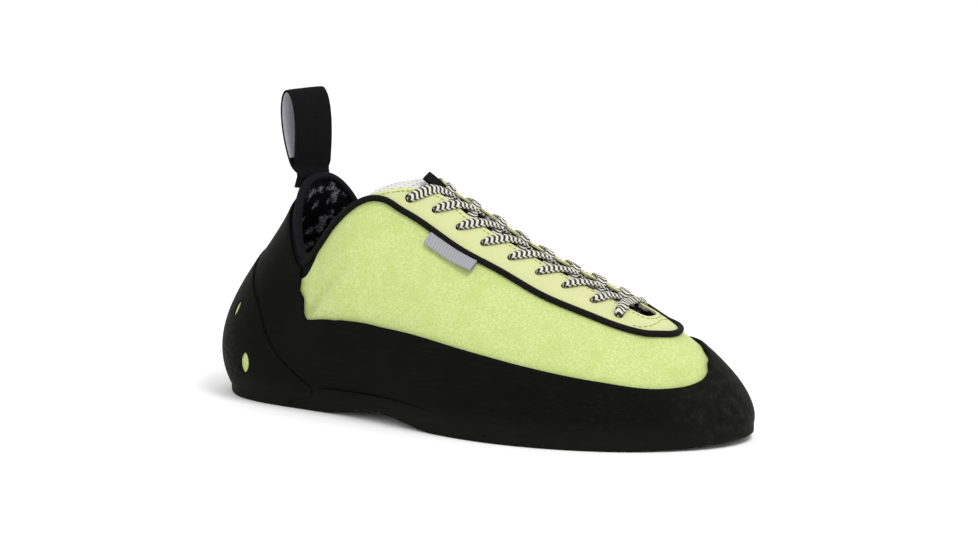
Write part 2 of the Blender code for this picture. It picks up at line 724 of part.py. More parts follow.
def make_pull_loop(last, material, collection):
    """Webbing loop that stands on the back of the heel: two strands over one sewn stem."""
    thickness = 2.0 * LOOP_WALL
    way = np.array([last.way(last.rows - 1, "outer")])
    foot = last.along_edge(way, LOOP_OVERLAP, GAP + thickness)[0]
    edge = last.along_edge(way, 0.0, GAP + thickness)[0]
    down = foot - edge
    inner, outer = loop_section(0.0), loop_section(LOOP_WALL)
    outer[0] = (LOOP_WALL + down[0], down[2])
    outer[1] = (down[0], down[2])
    outer[2] = (0.0, 0.0)
    outer[-1] = (thickness + down[0], down[2])
    outer[-2] = (thickness, 0.0)
    inner_turns = [LOOP_TURN * min(1.0, 2.0 * up / LOOP_HEIGHT) for _, up in inner]
    outer_turns = [LOOP_TURN * max(0.0, min(1.0, 2.0 * up / LOOP_HEIGHT)) for _, up in outer]
    work = bmesh.new()
    edges = ((inner, inner_turns, (-1.0, 1.0)), (outer, outer_turns, (1.0, -1.0)))
    runs = [loop_run(work, outline, turns, side) for outline, turns, sides in edges for side in sides]
    for one, other in zip(runs, runs[1:] + runs[:1]):
        add_rim(work, one, other, True)
    made = new_object("pull_loop", work, material, collection)
    made.location = edge
    return made


def make_side_tag(last, material, collection):
    """Small woven tag on the outer quarter, along the piping."""
    ways = np.linspace(last.way(TAG_SECTIONS[0], "outer"), last.way(TAG_SECTIONS[1], "outer"), TAG_COLUMNS)
    tops = last.edge("piping", ways) * EYESTAY_WIDTH + PIPING_RADIUS + GAP
    grids = []
    for lift in (GAP, GAP + TAG_WALL):
        rows = [last.along_edge(ways, tops + TAG_WIDTH * share, lift) for share in (0.0, 0.5, 1.0)]
        grids.append(np.stack(rows, axis=1))
    return new_object("side_tag", layer(*grids), material, collection)


def lace_strand(path):
    """Flat strand along a path, which is given at a lift and returns points."""
    low, high = path(LACE_LIFT), path(LACE_LIFT + LACE_THICKNESS)
    along = np.gradient(low, axis=0)
    sideways = np.cross(along, high - low)
    sideways *= LACE_WIDTH / 2.0 / np.linalg.norm(sideways, axis=1)[:, None]
    return layer(*[np.stack((points - sideways, points + sideways), axis=1) for points in (low, high)])


def crossing_path(last, start, end, side):
    """Path of a strand from an eyelet on one side, over the throat, to the edge on the other side."""
    way = np.full(len(TUCK_SHARES), last.way(start, side))
    tucks = np.array(TUCK_SHARES) * LACE_START
    shares = np.linspace(0.0, LACE_REACH, LACE_STEPS)

    def path(lift):
        if side == "outer":
            over = last.bridge(start, end, shares, lift)
        else:
            over = last.bridge(end, start, 1.0 - shares, lift)
        return np.concatenate((last.along_edge(way, tucks, lift), over))

    return path


def make_laces(last, material, collection, joined):
    """One bar at the toe end, and a crossing of two joined strands between each two rows of eyelets."""
    sections = eyelet_sections()
    shares = np.linspace(0.0, 1.0, LACE_STEPS)
    bar = lace_strand(lambda lift: last.over_throat((sections[-1], sections[-1]), LACE_START, shares, lift))
    new_object("lace_bar", bar, material, collection)
    for number, (start, following) in enumerate(zip(sections, sections[1:])):
        end = start + LACE_SLANT * (following - start)
        over = lace_strand(crossing_path(last, start, end, "outer"))
        under = lace_strand(crossing_path(last, start, end, "inner"))
        crossing = new_object(f"lace_cross_{number + 1}", over, material, collection)
        second = add_cutter(f"lace_under_{number + 1}", under, joined)
        modifier = crossing.modifiers.new("join", "BOOLEAN")
        modifier.operation = "UNION"
        modifier.solver = "EXACT"
        modifier.object = second


def stand_on_origin(pieces, cutters, name):
    """Parent everything to an empty that puts the middle of the pieces' box, at its floor, at the origin."""
    bpy.context.view_layer.update()
    graph = bpy.context.evaluated_depsgraph_get()
    corners = []
    for piece in pieces.objects:
        placed = piece.evaluated_get(graph)
        corners += [placed.matrix_world @ vertex.co for vertex in placed.to_mesh().vertices]
        placed.to_mesh_clear()
    low, high = np.min(corners, axis=0), np.max(corners, axis=0)
    root = bpy.data.objects.new(name, None)
    root.location = (-(low[0] + high[0]) / 2.0, -(low[1] + high[1]) / 2.0, -low[2])
    for collection in (pieces, *cutters):
        for child in collection.objects:
            child.parent = root
    pieces.objects.link(root)


def main():
    """Make the shoe's pieces, cut the holes and stand it on the origin."""
    clear_scene()
    parts = new_collection("climbing_shoe")
    eyelet_cutters = new_collection("eyelet_cutters")
    slot_cutters = new_collection("slot_cutters")
    joined = new_collection("joined_strands")
    black_rubber = new_material("black_rubber", (0.012, 0.012, 0.013), 0.6)
    lime_leather = new_material("lime_leather", (0.62, 0.75, 0.25), 0.6)
    black_webbing = new_material("black_webbing", (0.010, 0.010, 0.011), 0.8)
    white_pad = new_material("white_pad", (0.75, 0.75, 0.75), 0.8)
    grey_board = new_material("grey_board", (0.10, 0.10, 0.10), 0.9)
    grey_ribbon = new_material("grey_ribbon", (0.35, 0.36, 0.38), 0.7)
    checked_cord = new_material("checked_cord", (0.35, 0.35, 0.33), 0.8)

    last = Last()
    ways = grid_ways(last)
    make_outsole(last, ways, black_rubber, parts)
    make_insole(last, ways, grey_board, parts)
    make_rand(last, ways, black_rubber, parts)
    heel_cup = make_heel_cup(last, ways, black_rubber, parts)
    upper = make_upper(last, ways, lime_leather, parts)
    make_tongue(last, white_pad, parts)
    make_tongue_tab(last, black_webbing, parts)
    make_piping(last, ways, black_webbing, parts)
    make_collar_binding(last, ways, black_webbing, parts)
    make_pull_loop(last, black_webbing, parts)
    make_side_tag(last, grey_ribbon, parts)
    make_laces(last, checked_cord, parts, joined)

    make_slot_cutters(last, slot_cutters)
    cut(heel_cup, slot_cutters)
    make_eyelet_cutters(last, eyelet_cutters)
    cut(upper, eyelet_cutters)
    stand_on_origin(parts, (eyelet_cutters, slot_cutters, joined), "climbing_shoe")


main()
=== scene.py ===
"""Looks of a climbing shoe for the right foot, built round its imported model.

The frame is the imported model's: metres, +X at the toe, +Y at the inner side of the foot, +Z up, and the
floor at zero. One form, the last, gives every shell of the shoe, each at its own distance from it.
"""

from __future__ import annotations

import logging
import math
from collections.abc import Callable, Sequence
from dataclasses import dataclass, field
from enum import Enum

import bpy
import numpy as np
from bpy.types import Material, Node, NodeSocket, NodeTree, Object
from mathutils import Matrix, Vector

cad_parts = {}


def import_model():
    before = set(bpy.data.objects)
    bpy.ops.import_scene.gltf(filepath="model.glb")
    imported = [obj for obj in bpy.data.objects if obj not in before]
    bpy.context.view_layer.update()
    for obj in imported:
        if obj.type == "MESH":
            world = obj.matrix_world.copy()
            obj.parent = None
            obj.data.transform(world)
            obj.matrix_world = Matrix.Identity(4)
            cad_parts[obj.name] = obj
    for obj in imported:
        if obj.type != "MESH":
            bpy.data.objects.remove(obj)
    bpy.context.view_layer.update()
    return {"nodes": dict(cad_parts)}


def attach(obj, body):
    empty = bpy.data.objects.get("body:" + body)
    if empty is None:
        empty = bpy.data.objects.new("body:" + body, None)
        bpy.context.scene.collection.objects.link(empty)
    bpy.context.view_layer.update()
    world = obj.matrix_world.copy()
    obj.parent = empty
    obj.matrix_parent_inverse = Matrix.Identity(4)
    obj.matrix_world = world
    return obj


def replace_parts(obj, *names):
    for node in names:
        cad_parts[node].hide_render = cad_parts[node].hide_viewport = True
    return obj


Array = np.ndarray
LOG = logging.getLogger("climbing_shoe")
MM = 0.001
BODY = "root"

# Distances in metres, and a share, over which directions on the last are measured
NEARBY = 0.0002
NEARBY_SHARE = 0.002

# Share below the last's foot at which the rubbers start, so that they meet the sole
BELOW_FOOT = -0.005

# Sections of the last, one row for each, from the toe tip round to the back of the heel. foot_at and top_at
# are shares of the length, widths are shares of the ball's, instep and heel shares of those two heights.
SECTION_COLUMNS = (
    "foot_at", "outer", "inner", "top_at", "top_outer", "top_inner", "instep", "heel",
    "rise", "crown", "low", "high",
)
SECTIONS = (
    (0.968, -0.150, 0.150, 0.824, -0.040, 0.040, 0.530, 0.00, 72.0, 33.0, 0.23, 0.27),
    (0.952, 0.010, 0.275, 0.820, 0.005, 0.080, 0.533, 0.00, 73.0, 34.0, 0.25, 0.27),
    (0.896, 0.185, 0.360, 0.797, 0.015, 0.100, 0.552, 0.00, 76.0, 31.0, 0.30, 0.28),
    (0.802, 0.345, 0.420, 0.740, 0.022, 0.115, 0.608, 0.00, 75.0, 16.0, 0.36, 0.30),
    (0.690, 0.440, 0.445, 0.660, 0.026, 0.108, 0.688, 0.00, 74.0, 18.0, 0.38, 0.32),
    (0.575, 0.460, 0.400, 0.570, 0.032, 0.100, 0.790, 0.00, 71.0, 24.0, 0.38, 0.33),
    (0.460, 0.415, 0.315, 0.485, 0.048, 0.105, 0.905, 0.00, 68.0, 32.0, 0.39, 0.33),
    (0.360, 0.365, 0.270, 0.415, 0.068, 0.095, 1.000, 0.00, 66.0, 36.0, 0.40, 0.33),
    (0.285, 0.337, 0.270, 0.356, 0.280, 0.260, 0.997, 0.00, 67.0, 62.0, 0.38, 0.30),
    (0.220, 0.325, 0.285, 0.279, 0.325, 0.315, 0.828, 0.00, 67.0, 76.0, 0.36, 0.30),
    (0.155, 0.315, 0.290, 0.225, 0.325, 0.310, 0.000, 0.677, 65.0, 82.0, 0.36, 0.30),
    (0.085, 0.270, 0.265, 0.191, 0.260, 0.255, 0.000, 0.83, 62.0, 80.0, 0.37, 0.30),
    (0.036, 0.150, 0.150, 0.174, 0.130, 0.130, 0.000, 0.97, 63.0, 77.0, 0.37, 0.30),
    (0.020, 0.000, 0.000, 0.170, 0.000, 0.000, 0.000, 1.00, 62.0, 75.0, 0.37, 0.30),
)

# Edges at section numbers: the rand's and the heel cup's heights as shares of their greatest, on each side,
# and how far the piping lies below the throat's edge as a share of the eyestay's width
EDGE_COLUMNS = ("section", "rand_outer", "rand_inner", "cup", "piping")
EDGES = (
    (0.0, 0.81, 0.81, 0.00, 0.86),
    (0.5, 0.72, 0.89, 0.00, 0.76),
    (1.0, 0.65, 0.92, 0.00, 0.68),
    (1.5, 0.61, 0.93, 0.00, 0.74),
    (2.0, 0.60, 0.92, 0.00, 0.83),
    (3.0, 0.67, 0.84, 0.00, 1.10),
    (4.0, 0.77, 0.82, 0.00, 1.19),
    (5.0, 0.88, 0.87, 0.00, 1.06),
    (6.0, 0.97, 0.95, 0.00, 1.03),
    (6.5, 0.99, 0.98, 0.00, 1.10),
    (7.0, 1.01, 1.00, 0.00, 1.00),
    (7.3, 1.01, 1.00, 0.02, 0.79),
    (7.6, 1.01, 1.00, 0.06, 0.47),
    (7.85, 1.00, 1.00, 0.08, 0.18),
    (8.0, 1.00, 1.00, 0.10, 0.10),
    (9.0, 0.96, 0.96, 0.25, 0.10),
    (10.0, 0.96, 0.96, 0.42, 0.10),
    (11.0, 0.96, 0.96, 0.72, 0.10),
    (12.0, 0.96, 0.96, 0.92, 0.10),
    (13.0, 0.96, 0.96, 1.00, 0.10),
)


class Side(Enum):
    """The two sides of the shoe: the little toe's and the big toe's."""

    OUTER = "outer"
    INNER = "inner"

    @property
    def other(self) -> Side:
        """The opposite side."""
        return Side.INNER if self is Side.OUTER else Side.OUTER


def periodic_spline(knots: Array, values: Array, period: float) -> Callable[[Array], Array]:
    """Smooth closed curve through values.

    Args:
        knots: Distances round the curve, growing from zero.
        values: One row of numbers for each knot.
        period: Length of the whole round.

    Returns:
        Function from distances to rows of numbers.
    """
    count = len(knots)
    spans = np.diff(np.append(knots, knots[0] + period))
    system = np.zeros((count, count))
    right = np.zeros((count,) + values.shape[1:])
    for i in range(count):
        before, after = spans[i - 1], spans[i]
        following = (i + 1) % count
        system[i, i - 1] += before
        system[i, i] += 2.0 * (before + after)
        system[i, following] += after
        right[i] = 6.0 * ((values[following] - values[i]) / after - (values[i] - values[i - 1]) / before)
    bends = np.linalg.solve(system, right)

    def evaluate(at: Array) -> Array:
        """Rows of numbers at distances round the curve."""
        at = np.mod(np.asarray(at, float) - knots[0], period) + knots[0]
        i = np.clip(np.searchsorted(knots, at, side="right") - 1, 0, count - 1)
        following = (i + 1) % count
        span = spans[i][:, None]
        ahead = ((at - knots[i])[:, None]) / span
        behind = 1.0 - ahead
        cubic = (ahead**3 - ahead) * bends[following] + (behind**3 - behind) * bends[i]
        return behind * values[i] + ahead * values[following] + cubic * span**2 / 6.0

    return evaluate


def steady_curve(knots: Array, values: Array, at: Array) -> Array:
    """Smooth curve through values that never leaves the range of two neighbours.

    Args:
        knots: Growing places of the values.
        values: One number for each knot.
        at: Places to read.

    Returns:
        One number for each place.
    """
    spans = np.diff(knots)
    slopes = np.diff(values) / spans
    tangents = np.zeros(len(values))
    same_way = slopes[:-1] * slopes[1:] > 0.0
    sums = np.where(same_way, slopes[:-1] + slopes[1:], 1.0)
    tangents[1:-1] = np.where(same_way, 2.0 * slopes[:-1] * slopes[1:] / sums, 0.0)
    i = np.clip(np.searchsorted(knots, at, side="right") - 1, 0, len(spans) - 1)
    share = np.clip((at - knots[i]) / spans[i], 0.0, 1.0)
    rest = 1.0 - share
    start = values[i] * (1.0 + 2.0 * share) * rest**2 + tangents[i] * spans[i] * share * rest**2
    end = values[i + 1] * (3.0 - 2.0 * share) * share**2 - tangents[i + 1] * spans[i] * share**2 * rest
    return start + end


def eased(value: Array, start: float, end: float) -> Array:
    """Smooth step from 0 at start to 1 at end."""
    share = np.clip((np.asarray(value, float) - start) / (end - start), 0.0, 1.0)
    return share * share * (3.0 - 2.0 * share)


def unit(vectors: Array) -> Array:
    """Vectors of length one."""
    return vectors / np.linalg.norm(vectors, axis=-1)[..., None]


@dataclass
class Last:
    """The form that the shoe is built over: the outer face of its upper, and the lines drawn on it."""

    length: float = 0.262
    ball_width: float = 0.094
    instep_height: float = 0.099
    heel_height: float = 0.099
    rand_height: float = 0.044
    cup_height: float = 0.066
    eyestay_width: float = 0.016
    sole_wall: float = 0.0045
    gap: float = 0.0003
    arch: tuple[float, float, float] = (0.25, 0.52, 0.0045)
    spring: tuple[float, float] = (0.80, 0.0035)
    bridge_shape: tuple[float, float] = (0.33, math.radians(15.0))
    origin: tuple[float, float, float] = (-0.1275417, 0.0010151, 0.0)
    round: float = field(init=False)
    knots: Array = field(init=False)
    curve: Callable[[Array], Array] = field(init=False)

    def __post_init__(self) -> None:
        """Lay the sections round the last and run a smooth curve through them."""
        rows = [dict(zip(SECTION_COLUMNS, row)) for row in SECTIONS]
        nodes = [self.node(row, Side.OUTER, -1.0) for row in rows]
        nodes += [self.node(row, Side.INNER, 1.0) for row in rows[-2:0:-1]]
        table = np.array(nodes)
        middle = (table[:, 0:2] + table[:, 2:4]) / 2.0
        steps = np.linalg.norm(np.roll(middle, -1, axis=0) - middle, axis=1)
        self.knots = np.append(0.0, np.cumsum(steps))
        self.round = float(self.knots[-1])
        self.curve = periodic_spline(self.knots[:-1], table, self.round)

    def node(self, row: dict[str, float], side: Side, sign: float) -> tuple[float, ...]:
        """Foot point, top point, slopes and reaches of one section on one side."""
        top_z = row["instep"] * self.instep_height + row["heel"] * self.heel_height
        return (
            row["foot_at"] * self.length, sign * row[side.value] * self.ball_width,
            row["top_at"] * self.length, sign * row["top_" + side.value] * self.ball_width, top_z,
            math.radians(row["rise"]), math.radians(row["crown"]), row["low"], row["high"],
        )

    def underside(self, x: Array) -> Array:
        """Height of the sole's underside above the floor, at places in the last's own frame."""
        share = np.asarray(x, float) / self.length
        start, end, lift = self.arch
        arch = np.clip((share - start) / (end - start), 0.0, 1.0)
        toe = np.clip((share - self.spring[0]) / (1.0 - self.spring[0]), 0.0, None)
        return lift * np.sin(math.pi * arch) ** 2 + self.spring[1] * toe**2

    def way(self, section: float, side: Side = Side.OUTER) -> float:
        """Distance round the last of a section number on one side."""
        place = section if side is Side.OUTER else 2.0 * (len(SECTIONS) - 1) - section
        return float(np.interp(place, np.arange(len(self.knots)), self.knots))

    def section(self, way: Array) -> Array:
        """Section numbers of distances round the last, the same for both sides."""
        near = np.minimum(np.mod(way, self.round), self.round - np.mod(way, self.round))
        return np.interp(near, self.knots[:len(SECTIONS)], np.arange(len(SECTIONS)))

    def face(self, way: Array, share: Array) -> Array:
        """Points of the upper's outer face.

        Args:
            way: Distances round the last, from the toe tip by the outer side to the heel and back.
            share: Shares of the way up, from the sole to the top edge.

        Returns:
            Points in the shoe's frame, in the shape of the two arguments.
        """
        way, share = np.broadcast_arrays(np.atleast_1d(way).astype(float), share)
        shape = way.shape
        way, share = way.ravel(), share.ravel().astype(float)[:, None]
        node = self.curve(way)
        step = self.curve(way + NEARBY)[:, 0:2] - self.curve(way - NEARBY)[:, 0:2]
        outward = unit(np.stack((-step[:, 1], step[:, 0]), axis=1))
        foot_z = self.underside(node[:, 0:1]) + self.sole_wall + self.gap
        foot, top = np.hstack((node[:, 0:2], foot_z)), node[:, 2:5]
        rise, crown = node[:, 5:6], node[:, 6:7]
        span = np.linalg.norm(top - foot, axis=1)[:, None]
        low = foot + span * node[:, 7:8] * np.hstack((np.cos(rise) * outward, np.sin(rise)))
        high = top + span * node[:, 8:9] * np.hstack((np.cos(crown) * outward, -np.sin(crown)))
        rest = 1.0 - share
        point = rest**3 * foot + 3 * rest**2 * share * low + 3 * rest * share**2 * high + share**3 * top
        return point.reshape(shape + (3,)) + np.array(self.origin)

    def normal(self, way: Array, share: Array) -> Array:
        """Unit normals of the face, pointing out of the shoe."""
        way, share = np.broadcast_arrays(np.atleast_1d(way).astype(float), share)
        along = self.face(way + NEARBY, share) - self.face(way - NEARBY, share)
        upward = self.face(way, share + NEARBY_SHARE) - self.face(way, share - NEARBY_SHARE)
        return unit(np.cross(upward, along))

    def point(self, way: Array, share: Array, lift: float | Array = 0.0) -> Array:
        """Points at a distance outside the face."""
        return self.face(way, share) + np.asarray(lift, float)[..., None] * self.normal(way, share)

    def edge(self, column: str, way: Array) -> Array:
        """Value of a column of EDGES at distances round the last."""
        names = (column, column) if column in EDGE_COLUMNS else (column + "_outer", column + "_inner")
        outer_ways = [self.way(row[0], Side.OUTER) for row in EDGES]
        inner_ways = [self.way(row[0], Side.INNER) for row in reversed(EDGES)]
        outer = [row[EDGE_COLUMNS.index(names[0])] for row in EDGES]
        inner = [row[EDGE_COLUMNS.index(names[1])] for row in reversed(EDGES)]
        ways = np.array(outer_ways + inner_ways[1:])
        return steady_curve(ways, np.array(outer + inner[1:]), np.mod(way, self.round))

    def share_at_height(self, way: Array, height: Array, lift: float = 0.0) -> Array:
        """Share of the way up at which the face, lifted off by a distance, reaches a height."""
        low, high = np.full(len(way), -0.1), np.ones(len(way))
        for _ in range(20):
            middle = (low + high) / 2.0
            above = self.point(way, middle, lift)[:, 2] > height
            high = np.where(above, middle, high)
            low = np.where(above, low, middle)
        return (low + high) / 2.0

    def share_below_edge(self, way: Array, distance: float | Array) -> Array:
        """Share of the way up at a distance measured down the face from its top edge."""
        shares = np.linspace(0.0, 1.0, 61)
        profiles = self.face(way[:, None], shares[None, :])
        lengths = np.linalg.norm(np.diff(profiles, axis=1), axis=2)
        sums = np.cumsum(lengths[:, ::-1], axis=1)[:, ::-1]
        below = np.concatenate((sums, np.zeros((len(way), 1))), axis=1)
        down = np.broadcast_to(distance, len(way))
        return np.array([np.interp(-one, -row, shares) for one, row in zip(down, below)])

    def along_edge(self, way: Array, below: float | Array, lift: float | Array) -> Array:
        """Points at a distance down the face from its top edge and at a distance outside it."""
        way = np.atleast_1d(way).astype(float)
        return self.point(way, self.share_below_edge(way, below), lift)

    def spot(self, section: float, side: Side, below: float, lift: float = 0.0) -> tuple[Array, Array]:
        """Point below the top edge, at a distance outside the face, and the direction out of the face."""
        way = np.array([self.way(section, side)])
        share = self.share_below_edge(way, below)
        return self.point(way, share, lift)[0], self.normal(way, share)[0]

    def edge_up(self, way: Array) -> Array:
        """Unit directions in which the face runs on past its top edge, square to that edge."""
        along = self.face(way + NEARBY, 1.0) - self.face(way - NEARBY, 1.0)
        return unit(np.cross(along, self.normal(way, 1.0)))

    def bridge(self, outer_section: float, inner_section: float, share: Array, lift: float) -> Array:
        """Points over the throat, from its outer edge (share 0) to its inner edge."""
        outer = self.point(self.way(outer_section, Side.OUTER), 1.0, lift)[0]
        inner = self.point(self.way(inner_section, Side.INNER), 1.0, lift)[0]
        across = inner - outer
        handle, slope = self.bridge_shape
        rise = np.array([0.0, 0.0, np.linalg.norm(across) * handle * math.sin(slope)])
        reach = across * handle * math.cos(slope)
        share = np.atleast_1d(share).astype(float)[:, None]
        rest = 1.0 - share
        middle = 3 * rest**2 * share * (outer + reach + rise) + 3 * rest * share**2 * (inner - reach + rise)
        return rest**3 * outer + middle + share**3 * inner


def deselect() -> None:
    """Clear the selection, since an operator acts on all that is selected."""
    if bpy.context.object and bpy.context.object.mode != "OBJECT":
        bpy.ops.object.mode_set(mode="OBJECT")
    bpy.ops.object.select_all(action="DESELECT")


def activate(piece: Object) -> None:
    """Make a piece the only selected one, and the active one."""
    deselect()
    piece.select_set(True)
    bpy.context.view_layer.objects.active = piece


def apply_modifier(piece: Object, kind: str, **settings: object) -> None:
    """Add a modifier with settings to a piece and apply it."""
    activate(piece)
    modifier = piece.modifiers.new(kind.lower(), kind)
    for name, value in settings.items():
        setattr(modifier, name, value)
    bpy.ops.object.modifier_apply(modifier=modifier.name)


def new_surface(name: str, grid: Array, uv: Array, merge: bool = False) -> Object:
    """Surface shaped from a grid primitive, facing to the cross product of its second and first directions.

    Args:
        name: Name of the object.
        grid: Points, in rows and columns.
        uv: Two numbers for each point, in metres along the surface where that makes sense.
        merge: Whether points that coincide become one, as where a round closes.

    Returns:
        The new object.
    """
    rows, columns = grid.shape[:2]
    deselect()
    bpy.ops.mesh.primitive_grid_add(x_subdivisions=columns - 1, y_subdivisions=rows - 1, size=1.0)
    piece = bpy.context.object
    piece.name = piece.data.name = name
    piece.data.vertices.foreach_set("co", grid.reshape(-1).astype(np.float32))
    corners = np.empty(len(piece.data.loops), int)
    piece.data.loops.foreach_get("vertex_index", corners)
    piece.data.uv_layers.active.data.foreach_set("uv", uv.reshape(-1, 2)[corners].ravel().astype(np.float32))
    if merge:
        bpy.ops.object.mode_set(mode="EDIT")
        bpy.ops.mesh.select_all(action="SELECT")
        bpy.ops.mesh.remove_doubles(threshold=2e-6)
        bpy.ops.object.mode_set(mode="OBJECT")
    return piece


def face_outward(piece: Object) -> None:
    """Turn all faces of a piece outward."""
    activate(piece)
    bpy.ops.object.mode_set(mode="EDIT")
    bpy.ops.mesh.select_all(action="SELECT")
    bpy.ops.mesh.normals_make_consistent(inside=False)
    bpy.ops.object.mode_set(mode="OBJECT")


def close_ends(piece: Object) -> None:
    """Fill the open ends of a tube and turn its faces outward."""
    activate(piece)
    bpy.ops.object.mode_set(mode="EDIT")
    bpy.ops.mesh.select_mode(type="VERT")
    bpy.ops.mesh.select_all(action="DESELECT")
    bpy.ops.mesh.select_non_manifold()
    bpy.ops.mesh.fill_holes(sides=0)
    bpy.ops.object.mode_set(mode="OBJECT")
    face_outward(piece)


def metric_uv(grid: Array) -> Array:
    """Distances along a grid's rows and columns, in metres."""
    along = np.linalg.norm(np.diff(grid, axis=0), axis=2).mean(axis=1)
    across = np.linalg.norm(np.diff(grid, axis=1), axis=2)
    u = np.broadcast_to(np.append(0.0, np.cumsum(along))[:, None], grid.shape[:2])
    v = np.concatenate((np.zeros((grid.shape[0], 1)), np.cumsum(across, axis=1)), axis=1)
    return np.stack((u, v), axis=-1)


def round_edges(piece: Object, width: float, segments: int = 2, angle: float = 50.0) -> None:
    """Round the edges at which faces meet at more than an angle in degrees."""
    settings = {"width": width, "segments": segments, "angle_limit": math.radians(angle)}
    apply_modifier(piece, "BEVEL", limit_method="ANGLE", **settings)


def new_shell(name: str, grid: Array, thickness: float, edge: float = 0.0002) -> Object:
    """Wall with a thickness under a grid of points, with rounded edges.

    Args:
        name: Name of the object.
        grid: Points of the outer side; where its first and last rows coincide, the wall closes on itself.
        thickness: Thickness of the wall in metres.
        edge: Rounding of its edges in metres.

    Returns:
        The new object.
    """
    closed = bool(np.allclose(grid[0], grid[-1], atol=1e-6))
    piece = new_surface(name, grid, metric_uv(grid), merge=closed)
    apply_modifier(piece, "SOLIDIFY", thickness=thickness, offset=-1.0)
    if edge:
        round_edges(piece, edge)
    return piece


def smooth_path(points: Array, steps: int) -> Array:
    """Smooth run through rows of numbers, at even steps between each two, by their places' distances."""
    spans = np.maximum(np.linalg.norm(np.diff(points[:, 0:3], axis=0), axis=1), 1e-6) ** 0.5
    knots = np.append(0.0, np.cumsum(spans))
    tangents = np.gradient(points, knots, axis=0)
    parts = [np.linspace(start, end, steps, endpoint=False) for start, end in zip(knots, knots[1:])]
    at = np.concatenate(parts + [knots[-1:]])
    i = np.clip(np.searchsorted(knots, at, side="right") - 1, 0, len(spans) - 1)
    share = ((at - knots[i]) / spans[i])[:, None]
    rest, span = 1.0 - share, spans[i][:, None]
    start = points[i] * (1.0 + 2.0 * share) * rest**2 + tangents[i] * span * share * rest**2
    return start + points[i + 1] * (3.0 - 2.0 * share) * share**2 - tangents[i + 1] * span * share**2 * rest


def new_sweep(name: str, centre: Array, up: Array, outline: Array, unrolled: bool = False) -> Object:
    """Solid swept along a path.

    Args:
        name: Name of the object.
        centre: Points of the path.
        up: A direction for each point that the outline's second direction leans to.
        outline: Points of the section, sideways and up, the same for all or one run for each path point.
        unrolled: Whether the UV map's second number is a share of the way round instead of metres.

    Returns:
        The new object, with metres along the path and round the section in its UV map.
    """
    along = unit(np.gradient(centre, axis=0))
    sideways = unit(np.cross(along, up))
    upward = np.cross(sideways, along)
    outline = np.broadcast_to(outline, (len(centre),) + outline.shape[-2:])
    ring = np.concatenate((outline, outline[:, :1]), axis=1)
    grid = centre[:, None] + ring[..., 0:1] * sideways[:, None] + ring[..., 1:2] * upward[:, None]
    uv = metric_uv(grid)
    if unrolled:
        uv[..., 1] = np.linspace(0.0, 1.0, grid.shape[1])
    piece = new_surface(name, grid, uv, merge=True)
    close_ends(piece)
    return piece


def oval(width: float, height: float, count: int = 16, power: float = 0.7) -> Array:
    """Outline of a rounded bar, between an ellipse (power 1) and a box (power near 0)."""
    angle = np.linspace(0.0, 2.0 * math.pi, count, endpoint=False) + math.pi / count
    cosine, sine = np.cos(angle), np.sin(angle)
    across = np.sign(cosine) * np.abs(cosine) ** power * width / 2.0
    return np.stack((across, np.sign(sine) * np.abs(sine) ** power * height / 2.0), axis=1)


def settle(piece: Object, material: Material, angle: float = 40.0) -> Object:
    """Shade a finished piece smooth, give it its material and slot, and let it ride on the shoe.

    Args:
        piece: The finished object.
        material: Its finish.
        angle: Greatest angle in degrees that is shaded smooth.

    Returns:
        The same object.
    """
    activate(piece)
    bpy.ops.object.shade_smooth_by_angle(angle=math.radians(angle))
    if not piece.data.materials:
        piece.data.materials.append(material)
    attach(piece, BODY)
    LOG.info("%s: %d faces", piece.name, len(piece.data.polygons))
    return piece


def linear(code: str) -> tuple[float, float, float, float]:
    """Linear colour of an sRGB hex code."""
    parts = [int(code[i:i + 2], 16) / 255.0 for i in (1, 3, 5)]
    return (*[part / 12.92 if part <= 0.04045 else ((part + 0.055) / 1.055) ** 2.4 for part in parts], 1.0)


def add_node(tree: NodeTree, kind: str, inputs: dict | None = None, **settings: object) -> Node:
    """Add a node.

    Args:
        tree: The material's nodes.
        kind: The node's type, without its prefix.
        inputs: Values, or sockets to link, by the input's name or number.
        settings: The node's own settings.

    Returns:
        The new node.
    """
    node = tree.nodes.new("ShaderNode" + kind)
    for name, value in settings.items():
        setattr(node, name, value)
    for name, value in (inputs or {}).items():
        if isinstance(value, NodeSocket):
            tree.links.new(value, node.inputs[name])
        else:
            node.inputs[name].default_value = value
    return node


